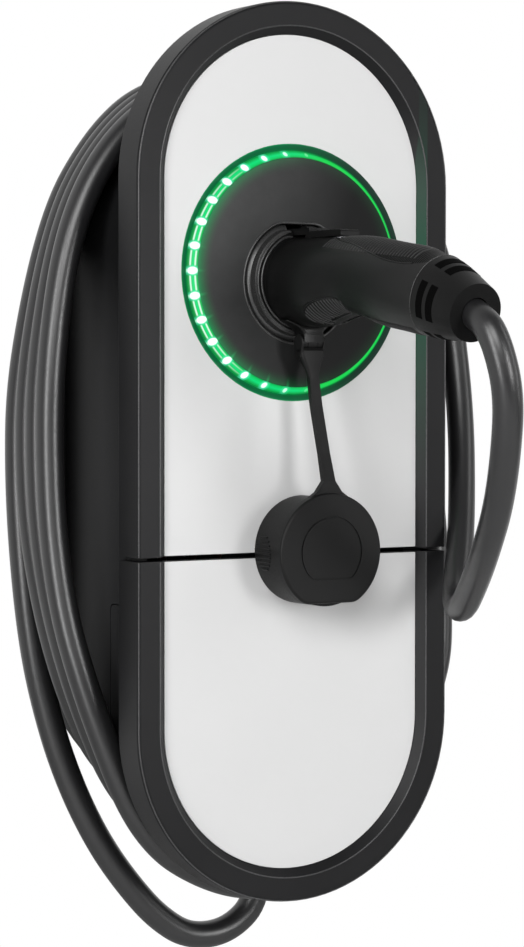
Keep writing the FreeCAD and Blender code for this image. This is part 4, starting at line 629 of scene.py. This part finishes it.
def makeRibs(name, lines, radius, body, slot, finish=None):
    mesh = bpy.data.meshes.new(name + "Lines")
    points = []
    edges = []
    for line in lines:
        start = len(points)
        points += [tuple(point) for point in line]
        edges += [(start + k, start + k + 1) for k in range(len(line) - 1)]
    mesh.from_pydata(points, edges, [])
    source = addToScene(name + "Source", mesh)
    modifier = source.modifiers.new("ribs", "NODES")
    modifier.node_group = ribGroup
    paint = materials[finish or slot]
    values = {"Radius": radius, "Material": paint}
    for item in ribGroup.interface.items_tree:
        if item.item_type == "SOCKET" and item.in_out == "INPUT" and item.name in values:
            modifier[item.identifier] = values[item.name]
    bpy.context.view_layer.update()
    depsgraph = bpy.context.evaluated_depsgraph_get()
    swept = bpy.data.meshes.new_from_object(source.evaluated_get(depsgraph))
    swept.name = name
    bpy.data.objects.remove(source)
    swept.materials.clear()
    addObject(name, swept, body, paint)


def surfaceOf(names):
    points = []
    faces = []
    for name in names:
        piece = nodes[name]
        start = len(points)
        points += [piece.matrix_world @ vertex.co for vertex in piece.data.vertices]
        faces += [tuple(start + index for index in polygon.vertices) for polygon in piece.data.polygons]
    return BVHTree.FromPolygons(points, faces)


def landOn(surface, start, way):
    return surface.ray_cast(Vector(start), Vector(way).normalized())[0]


# Ribs on the handle: rows over its top and under it, and an oval patch on each side.
ribs = dict(axisZ=0.088, castFrom=0.06, topFirstY=-0.158, behindLever=-0.1645, besideLever=0.0068,
            topLastY=-0.236, topPitch=0.0024, topRadius=0.00055, topSpread=54, topNarrow=0.75, topSunk=0.35,
            rimRadius=0.0004, patchY=-0.158, patchZ=0.072, patchHalfLength=0.0158, patchHalfHeight=0.006,
            patchTilt=-12, patchPitch=0.0021, patchFill=0.86, patchLeast=0.001, underFirstY=-0.193,
            underLastY=-0.229, underPitch=0.0024, underHalf=0.0085, underFrom=0.03, sunk=0.0002)

# Lower edge of the soft insert on the handle's top, as (y, z).
gripEdge = [(-0.157, 0.1098), (-0.163, 0.1074), (-0.17, 0.1061), (-0.178, 0.105), (-0.186, 0.1032),
            (-0.193, 0.1012), (-0.202, 0.0988), (-0.21, 0.0966), (-0.219, 0.0948), (-0.228, 0.0936),
            (-0.236, 0.0934)]


def rowPlaces(first, last, pitch):
    return [first - index * pitch for index in range(int((first - last) / pitch) + 1)]


def topRows(surface):
    rows = []
    places = rowPlaces(ribs["topFirstY"], ribs["topLastY"], ribs["topPitch"])
    for index, y in enumerate(places):
        line = []
        widen = (1 - ribs["topNarrow"]) * index / (len(places) - 1)
        spread = ribs["topSpread"] * (ribs["topNarrow"] + widen)
        for step in range(-8, 9):
            angle = math.radians(90 + step / 8 * spread)
            way = (math.cos(angle), 0, math.sin(angle))
            start = (way[0] * ribs["castFrom"], y, ribs["axisZ"] + way[2] * ribs["castFrom"])
            spot = landOn(surface, start, (-way[0], 0, -way[2]))
            if spot:
                line.append(spot - Vector(way) * ribs["topRadius"] * ribs["topSunk"])
        if len(line) > 2:
            halves = [line]
            if y >= ribs["behindLever"]:
                halves = [[p for p in line if p.x < -ribs["besideLever"]],
                          [p for p in line if p.x > ribs["besideLever"]]]
            rows += [half for half in halves if len(half) > 1]
    return rows


def underRows(surface):
    rows = []
    for y in rowPlaces(ribs["underFirstY"], ribs["underLastY"], ribs["underPitch"]):
        line = []
        for step in range(-6, 7):
            spot = landOn(surface, (step / 6 * ribs["underHalf"], y, ribs["underFrom"]), (0, 0, 1))
            if spot:
                line.append(spot + Vector((0, 0, ribs["sunk"])))
        if len(line) > 2:
            rows.append(line)
    return rows


def sideSpot(surface, side, y, z):
    return landOn(surface, (side * ribs["castFrom"], y, z), (-side, 0, 0))


def patchSpot(surface, side, along, up):
    # A place on the tilted side patch, from its middle.
    tilt = math.radians(ribs["patchTilt"])
    y = ribs["patchY"] + along * math.cos(tilt) - up * math.sin(tilt)
    z = ribs["patchZ"] + along * math.sin(tilt) + up * math.cos(tilt)
    return sideSpot(surface, side, y, z)


def patchRows(surface, side):
    rows = []
    half = int(ribs["patchHalfLength"] / ribs["patchPitch"])
    for index in range(-half, half + 1):
        along = index * ribs["patchPitch"]
        share = math.sqrt(max(0, 1 - (along / ribs["patchHalfLength"]) ** 2))
        reach = ribs["patchHalfHeight"] * ribs["patchFill"] * share
        spots = [patchSpot(surface, side, along, step / 4 * reach) for step in range(-4, 5)]
        line = [spot + Vector((-side * ribs["sunk"], 0, 0)) for spot in spots if spot]
        if len(line) > 2 and reach > ribs["patchLeast"]:
            rows.append(line)
    return rows


def patchRim(surface, side):
    rim = []
    for step in range(41):
        angle = 2 * math.pi * step / 40
        rim.append(patchSpot(surface, side, ribs["patchHalfLength"] * math.cos(angle),
                             ribs["patchHalfHeight"] * math.sin(angle)))
    return [spot for spot in rim if spot]


def makeGripRibs():
    surface = surfaceOf(["connector_shell", "top_grip", "finger_grip", "under_grip"])
    rows = topRows(surface) + underRows(surface)
    rims = []
    for side in (-1, 1):
        rims.append(patchRim(surface, side))
        rows += patchRows(surface, side)
        edge = [sideSpot(surface, side, y, z) for y, z in gripEdge]
        rims.append([spot for spot in edge if spot])
    # The ribs take a paler colour than the grip's dark base: painted highlight on their crests.
    makeRibs("gripRibs", rows, ribs["topRadius"], "charger", "grip_rubber", "rib_painted_highlight")
    rims = [rim for rim in rims if len(rim) > 2]
    makeRibs("gripRims", rims, ribs["rimRadius"], "charger", "connector_plastic")


# Ribs on the outside of the cap: angles in degrees round its axis.
capRows = dict(x=0.0046, z=-0.0495, y=-0.1165, radius=0.0278, halfLength=0.0075, rows=9, step=4.2,
               middle=182, ribRadius=0.0006, shorten=0.85, leastShare=0.12)


def makeCapRibs():
    rows = []
    last = capRows["rows"] - 1
    for row in range(capRows["rows"]):
        share = 2 * row / last - 1
        angle = math.radians(capRows["middle"] + share * capRows["step"] * last / 2)
        length = math.sqrt(max(capRows["leastShare"], 1 - share * share * capRows["shorten"]))
        reach = capRows["halfLength"] * length
        x = capRows["x"] + capRows["radius"] * math.cos(angle)
        z = capRows["z"] + capRows["radius"] * math.sin(angle)
        rows.append([(x, capRows["y"] - reach, z), (x, capRows["y"], z), (x, capRows["y"] + reach, z)])
    makeRibs("capRibs", rows, capRows["ribRadius"], "dust_cap", "cap_rubber")


# Mouth of the holster: round below, flat on top, with a gap there for the latch.
mouth = dict(gapHalf=0.0063, radius=0.032, corner=0.013, top=0.118, axisZ=0.088, frontY=-0.1122,
             stepY=-0.1042, step=0.0036, shrink=0.0002, inset=0.0022, rimRadius=0.0007)


def mouthLine(shrink, y, closed=False):
    # Outline of the mouth from its flat top's left end, round the bottom, to the top's right end.
    radius, corner, top = mouth["radius"] - shrink, mouth["corner"] - shrink / 2, mouth["top"] - shrink
    rise = top - corner - mouth["axisZ"]
    reach = math.sqrt((radius - corner) ** 2 - rise ** 2)
    spread = math.atan2(rise, reach)
    turns = [spread + step / 8 * (math.pi / 2 - spread) for step in range(8, 0, -1)]
    bends = [(reach + corner * math.cos(turn), y, top - corner + corner * math.sin(turn)) for turn in turns]
    line = [(-mouth["gapHalf"], y, top)]
    line += [(-x, y, z) for x, y, z in bends]
    for step in range(65):
        angle = math.pi - spread + step / 64 * (math.pi + 2 * spread)
        line.append((radius * math.cos(angle), y, mouth["axisZ"] + radius * math.sin(angle)))
    line += bends[::-1]
    line.append((mouth["gapHalf"], y, top))
    if closed:
        line.append(line[0])
    return line


# Collar that the connector shows in the mouth: a sloping band, open at the top for the latch.
collar = dict(outer=0.0012, outerY=-0.1106, edge=0.0060, edgeY=-0.1166, gap=0.0017, rimRadius=0.0006,
              backY=-0.1052, rimLift=0.0006,
              profile=[("outer", 0, "backY", 0), ("outer", 0, "outerY", 0.0006), ("outer", 0.0003, "outerY", 0),
                       ("edge", -0.0022, "outerY", -0.0016), ("edge", -0.0016, "edgeY", 0.0004),
                       ("edge", -0.0008, "edgeY", 0), ("edge", 0.0014, "edgeY", 0), ("edge", 0.0016, "backY", 0)])


def makeMouthRims():
    # Rounded edge of the mouth, the step inside it and the two edges of the connector's collar, painted paler than the
    # plastic round them as lines of painted highlight.
    rims = [mouthLine(mouth["shrink"], mouth["frontY"], True),
            mouthLine(mouth["inset"], mouth["frontY"] + mouth["inset"]),
            mouthLine(mouth["step"], mouth["stepY"])]
    makeRibs("mouthRims", rims, mouth["rimRadius"], "charger", "black_plastic", "rim_painted_highlight")
    edges = [mouthLine(collar["edge"], collar["edgeY"]),
             mouthLine(collar["edge"] + collar["gap"], collar["edgeY"] - collar["rimLift"])]
    makeRibs("collarRims", edges, collar["rimRadius"], "charger", "connector_plastic", "rim_painted_highlight")


def loftMesh(name, sections):
    # Skin over rings of equal length, with flat ends.
    count = len(sections[0])
    points = [tuple(point) for section in sections for point in section]
    faces = []
    for row in range(len(sections) - 1):
        first, second = row * count, (row + 1) * count
        for k in range(count):
            follow = (k + 1) % count
            faces.append((first + k, first + follow, second + follow, second + k))
    faces.append(tuple(range(count))[::-1])
    faces.append(tuple((len(sections) - 1) * count + k for k in range(count)))
    mesh = bpy.data.meshes.new(name)
    mesh.from_pydata(points, [], faces)
    return mesh


def turnOutward(mesh):
    work = bmesh.new()
    work.from_mesh(mesh)
    bmesh.ops.recalc_face_normals(work, faces=work.faces)
    work.to_mesh(mesh)
    work.free()


def joinMeshes(name, meshes, sharpFrom=38):
    points = []
    faces = []
    for mesh in meshes:
        turnOutward(mesh)
        start = len(points)
        points += [tuple(vertex.co) for vertex in mesh.vertices]
        faces += [tuple(start + index for index in polygon.vertices) for polygon in mesh.polygons]
    whole = bpy.data.meshes.new(name)
    whole.from_pydata(points, [], faces)
    whole.shade_smooth()
    whole.set_sharp_from_angle(angle=math.radians(sharpFrom))
    return whole


def makeCollar():
    lines = [mouthLine(collar[edge] + shift, collar[place] + lift)
             for edge, shift, place, lift in collar["profile"]]
    sections = [[line[k] for line in lines] for k in range(len(lines[0]))]
    mesh = joinMeshes("collar", [loftMesh("collarLoft", sections)])
    # The band takes the rims' paler colour, a painted highlight.
    addObject("collar", mesh, "charger", materials["rim_painted_highlight"])


def roundBox(x, y, z, halfWide, halfThick, corner):
    points = []
    for quarter, (sx, sy) in enumerate(((1, 1), (-1, 1), (-1, -1), (1, -1))):
        for step in range(5):
            angle = math.radians(quarter * 90 + step * 22.5)
            points.append((x + sx * (halfWide - corner) + corner * math.cos(angle),
                           y + sy * (halfThick - corner) + corner * math.sin(angle), z))
    return points


# Soft root of the cap's strap: two cheeks beside the hinge and a web that narrows into the strap.
strapRoot = dict(axisY=-0.124, axisZ=0.0565, cheekInner=0.0058, cheekOuter=0.0071, cheekRadius=0.0044,
                 webTop=0.0526, webLow=0.0385, webHalf=0.0030, webSteps=14, frontFrom=-0.17, backFrom=-0.115,
                 sideFrom=0.03, cover=0.0002, corner=0.7, bendFirst=-14, bendStep=8, bendCount=9,
                 bendIn=0.0038, bendOut=0.0045, bendTop=0.0048, bendInset=0.0006, cheekFirst=-15,
                 cheekTurn=210, footHigh=-0.0052, footLow=-0.0075, footShare=0.8, middle=-0.001,
                 cheekSteps=[("cheekInner", 0, 0.94), ("cheekInner", 0.0002, 1.0), ("cheekOuter", -0.0005, 1.0),
                             ("cheekOuter", -0.0001, 0.93), ("cheekOuter", 0, 0.8)])


def strapWeb(surface):
    levels = []
    x = 0.0
    for step in range(strapRoot["webSteps"] + 1):
        share = step / strapRoot["webSteps"]
        z = strapRoot["webTop"] + (strapRoot["webLow"] - strapRoot["webTop"]) * share
        front = landOn(surface, (x, strapRoot["frontFrom"], z), (0, 1, 0))
        back = landOn(surface, (x, strapRoot["backFrom"], z), (0, -1, 0))
        y = (front.y + back.y) / 2
        left = landOn(surface, (-strapRoot["sideFrom"], y, z), (1, 0, 0))
        right = landOn(surface, (strapRoot["sideFrom"], y, z), (-1, 0, 0))
        x = (left.x + right.x) / 2
        ease = share * share * (3 - 2 * share)
        wide = strapRoot["cheekOuter"] * (1 - ease) + ((right.x - left.x) / 2 + strapRoot["cover"]) * ease
        thick = strapRoot["webHalf"] * (1 - ease) + ((back.y - front.y) / 2 + strapRoot["cover"]) * ease
        levels.append(roundBox(x * ease, y, z, wide, thick, min(wide, thick) * strapRoot["corner"]))
    return loftMesh("strapWeb", levels)


def strapBend():
    wide, inset = strapRoot["cheekOuter"], strapRoot["bendInset"]
    places = [(-wide, strapRoot["bendIn"]), (wide, strapRoot["bendIn"]), (wide, strapRoot["bendOut"]),
              (wide - inset, strapRoot["bendTop"]), (inset - wide, strapRoot["bendTop"]),
              (-wide, strapRoot["bendOut"])]
    sections = []
    for step in range(strapRoot["bendCount"]):
        angle = math.radians(strapRoot["bendFirst"] + step * strapRoot["bendStep"])
        sections.append([(x, strapRoot["axisY"] - math.sin(angle) * reach,
                          strapRoot["axisZ"] - math.cos(angle) * reach) for x, reach in places])
    return loftMesh("strapBend", sections)


def strapCheek(side):
    outline = []
    for step in range(17):
        angle = math.radians(strapRoot["cheekFirst"] + step / 16 * strapRoot["cheekTurn"])
        outline.append((math.cos(angle) * strapRoot["cheekRadius"], math.sin(angle) * strapRoot["cheekRadius"]))
    half, share = strapRoot["webHalf"], strapRoot["footShare"]
    outline += [(-half, strapRoot["footHigh"]), (-half * share, strapRoot["footLow"]),
                (half * share, strapRoot["footLow"]), (half, strapRoot["footHigh"])]
    middle = strapRoot["middle"]
    sections = []
    for face, inset, grow in strapRoot["cheekSteps"]:
        x = side * strapRoot[face] + side * inset
        sections.append([(x, strapRoot["axisY"] + y * grow, strapRoot["axisZ"] + middle + (z - middle) * grow)
                         for y, z in outline])
    return loftMesh("strapCheek", sections)


def makeStrapRoot():
    pieces = [strapWeb(surfaceOf(["dust_cap"])), strapBend(), strapCheek(-1), strapCheek(1)]
    mesh = joinMeshes("strapRoot", pieces)
    addObject("strapRoot", mesh, "dust_cap", materials["cap_rubber"])


# Flared root under the collar that carries the hinge: height, half width and front of each level,
# then the heights of the plate in front of it, in metres.
lugFlare = dict(back=-0.1175, corner=0.0016,
                levels=[(0.0606, 0.0058, -0.1284), (0.0622, 0.0062, -0.1286), (0.0638, 0.0076, -0.1284),
                        (0.0654, 0.0100, -0.1278), (0.0668, 0.0128, -0.1268), (0.0680, 0.0150, -0.1252)],
                plateLevels=(0.0568, 0.0585, 0.0600, 0.0612), plateBack=-0.12765, plateFront=-0.1284,
                plateCorner=0.9)


def makeLugFlare():
    sections = []
    for z, half, front in lugFlare["levels"]:
        middle = (front + lugFlare["back"]) / 2
        sections.append(roundBox(0, middle, z, half, (lugFlare["back"] - front) / 2, lugFlare["corner"]))
    middle = (lugFlare["plateFront"] + lugFlare["plateBack"]) / 2
    half = lugFlare["levels"][0][1]
    thin = (lugFlare["plateBack"] - lugFlare["plateFront"]) / 2
    plate = [roundBox(0, middle, z, half, thin, thin * lugFlare["plateCorner"]) for z in lugFlare["plateLevels"]]
    mesh = joinMeshes("lugFlare", [loftMesh("flareLoft", sections), loftMesh("plateLoft", plate)])
    addObject("lugFlare", mesh, "charger", materials["connector_plastic"])


leverRows = dict(firstY=-0.138, lastY=-0.158, pitch=0.004, fromZ=0.14, radius=0.0005,
                 places=(-0.004, -0.002, 0, 0.002, 0.004))


def makeLeverRibs():
    surface = surfaceOf(["latch_lever"])
    rows = []
    for y in rowPlaces(leverRows["firstY"], leverRows["lastY"], leverRows["pitch"]):
        line = [landOn(surface, (x, y, leverRows["fromZ"]), (0, 0, -1)) for x in leverRows["places"]]
        line = [spot for spot in line if spot]
        if len(line) > 2:
            rows.append(line)
    makeRibs("leverRibs", rows, leverRows["radius"], "latch_lever", "connector_plastic")


makeGripRibs()
makeCapRibs()
makeMouthRims()
makeCollar()
makeStrapRoot()
makeLugFlare()
makeLeverRibs()
print("stage: ribs")

# Boot: wide dark sheets of painted shade over the narrower moulded slots, and a line of painted highlight where it
# meets the handle.
# Places are along its axis, in metres.
boot = dict(tilt=16.5, jointY=-0.24070, jointZ=0.07830, slots=((0.0056, 0.0104), (0.0134, 0.0182)),
            spread=62, lift=0.00015, sunk=0.0006, castFrom=0.05, edge=0.0007, edgeRadius=0.00025)


def bootSpot(surface, along, angle, lift):
    # Point on the boot at a distance along its axis and an angle about it, raised off the surface.
    tilt = math.radians(boot["tilt"])
    ahead = Vector((0, -math.cos(tilt), -math.sin(tilt)))
    up = Vector((0, -math.sin(tilt), math.cos(tilt)))
    out = Vector((1, 0, 0)) * math.sin(angle) + up * math.cos(angle)
    base = Vector((0, boot["jointY"], boot["jointZ"])) + ahead * along
    return landOn(surface, base + out * boot["castFrom"], -out) + out * lift


def makeBootTrim():
    surface = surfaceOf(["connector_boot"])
    strips = []
    for quarter in range(4):
        for low, high in boot["slots"]:
            corners = [(low, boot["lift"]), (high, boot["lift"]), (high, -boot["sunk"]), (low, -boot["sunk"])]
            sections = []
            for step in range(13):
                angle = math.radians(quarter * 90 + (step / 12 - 0.5) * boot["spread"])
                sections.append([bootSpot(surface, along, angle, lift) for along, lift in corners])
            strips.append(loftMesh("slotShadeStrip", sections))
    mesh = joinMeshes("bootSlotShade", strips)
    addObject("bootSlotShade", mesh, "charger", materials["slot_shade"])
    line = [bootSpot(surface, boot["edge"], math.radians(step * 6), 0) for step in range(61)]
    makeRibs("bootHighlightLine", [line], boot["edgeRadius"], "charger", "boot_rubber", "rim_painted_highlight")


makeBootTrim()

# Thin lines of painted highlight along the front frame's outer and inner edges, cut at the seam between the covers.
frameHighlight = dict(outer=0.0919, outerY=-0.1115, inner=0.0800, innerY=-0.1119, arcZ=0.1385,
                 seamHigh=-0.0505, seamLow=-0.0533, radius=0.00035)


def frameHighlightLine(radius, y, upper):
    sign = 1 if upper else -1
    stop = frameHighlight["seamHigh"] if upper else frameHighlight["seamLow"]
    line = [(radius * sign, y, stop)]
    for step in range(49):
        angle = step / 48 * math.pi
        z = sign * (frameHighlight["arcZ"] + radius * math.sin(angle))
        line.append((radius * math.cos(angle) * sign, y, z))
    line.append((-radius * sign, y, stop))
    return line


def makeFrameHighlights():
    lines = [frameHighlightLine(frameHighlight[name], frameHighlight[name + "Y"], upper)
             for name in ("outer", "inner") for upper in (True, False)]
    makeRibs("frameHighlights", lines, frameHighlight["radius"], "charger", "black_plastic", "edge_painted_highlight")


makeFrameHighlights()
print("stage: boot and frame edges")


# Stage: pale floor well below the hanging cable, soft studio lamps and a white surround.
studio = dict(floorZ=-0.75, floorSize=1.4, floorLift=0.45, surround=0.16, mirrorSpan=(-0.15, 0.35),
              floorLook=dict(colour=(0.78, 0.78, 0.78), rough=0.7, grain=60, bump=0.02, spread=0.01))
lamps = dict(
    key=dict(place=(-1.2, -2.1, 1.1), target=(0, -0.1, 0.1), size=(1.2, 1.2), power=38),
    front=dict(place=(0.5, -1.9, 0.1), target=(0, -0.1, 0), size=(0.45, 0.7), power=14),
    rightStrip=dict(place=(1.3, -0.9, 0.4), target=(0.1, -0.1, 0), size=(0.35, 1.6), power=6),
    leftStrip=dict(place=(-1.6, -1.05, 0.1), target=(-0.1, -0.1, 0), size=(0.4, 1.5), power=25),
)


def makeFloor():
    half = studio["floorSize"]
    corners = [(x * half, y * half, studio["floorZ"]) for x, y in ((-1, -1), (1, -1), (1, 1), (-1, 1))]
    mesh = bpy.data.meshes.new("floor")
    mesh.from_pydata(corners, [], [(0, 1, 2, 3)])
    floor = addToScene("floor", mesh)
    paint = plasticMaterial("floor_paint", **studio["floorLook"])
    tree = paint.node_tree
    path = tree.nodes.new("ShaderNodeLightPath")
    shader = tree.nodes["Principled BSDF"]
    shader.inputs["Emission Color"].default_value = (1, 1, 1, 1)
    lift = multiply(tree, path.outputs["Is Camera Ray"], studio["floorLift"])
    tree.links.new(lift, shader.inputs["Emission Strength"])
    mesh.materials.append(paint)


def makeLamp(name, place, target, size, power):
    data = bpy.data.lights.new(name, "AREA")
    data.shape = "RECTANGLE"
    data.size, data.size_y = size
    data.energy = power
    lamp = addToScene(name, data)
    lamp.location = place
    lamp.rotation_euler = (Vector(target) - Vector(place)).to_track_quat("-Z", "Y").to_euler()


def makeWorld():
    # White where the camera looks and behind the object in its sheen, dim grey for all other light.
    world = bpy.data.worlds.new("studio")
    bpy.context.scene.world = world
    world.use_nodes = True
    tree = world.node_tree
    back = tree.nodes["Background"]
    path = tree.nodes.new("ShaderNodeLightPath")
    place = tree.nodes.new("ShaderNodeTexCoord")
    split = tree.nodes.new("ShaderNodeSeparateXYZ")
    tree.links.new(place.outputs["Generated"], split.inputs[0])
    behind = addRange(tree, split.outputs["Y"], 0, 1, *studio["mirrorSpan"])
    mirrored = multiply(tree, path.outputs["Is Glossy Ray"], behind)
    direct = addMath(tree, "MAXIMUM", path.outputs["Is Camera Ray"], path.outputs["Is Transmission Ray"])
    seen = addMath(tree, "MAXIMUM", direct, mirrored)
    surround = (studio["surround"],) * 3
    tree.links.new(addMix(tree, seen, surround, (1, 1, 1)), back.inputs["Color"])


makeFloor()
makeWorld()
for name, lamp in lamps.items():
    makeLamp(name, **lamp)
print("stage: lights")
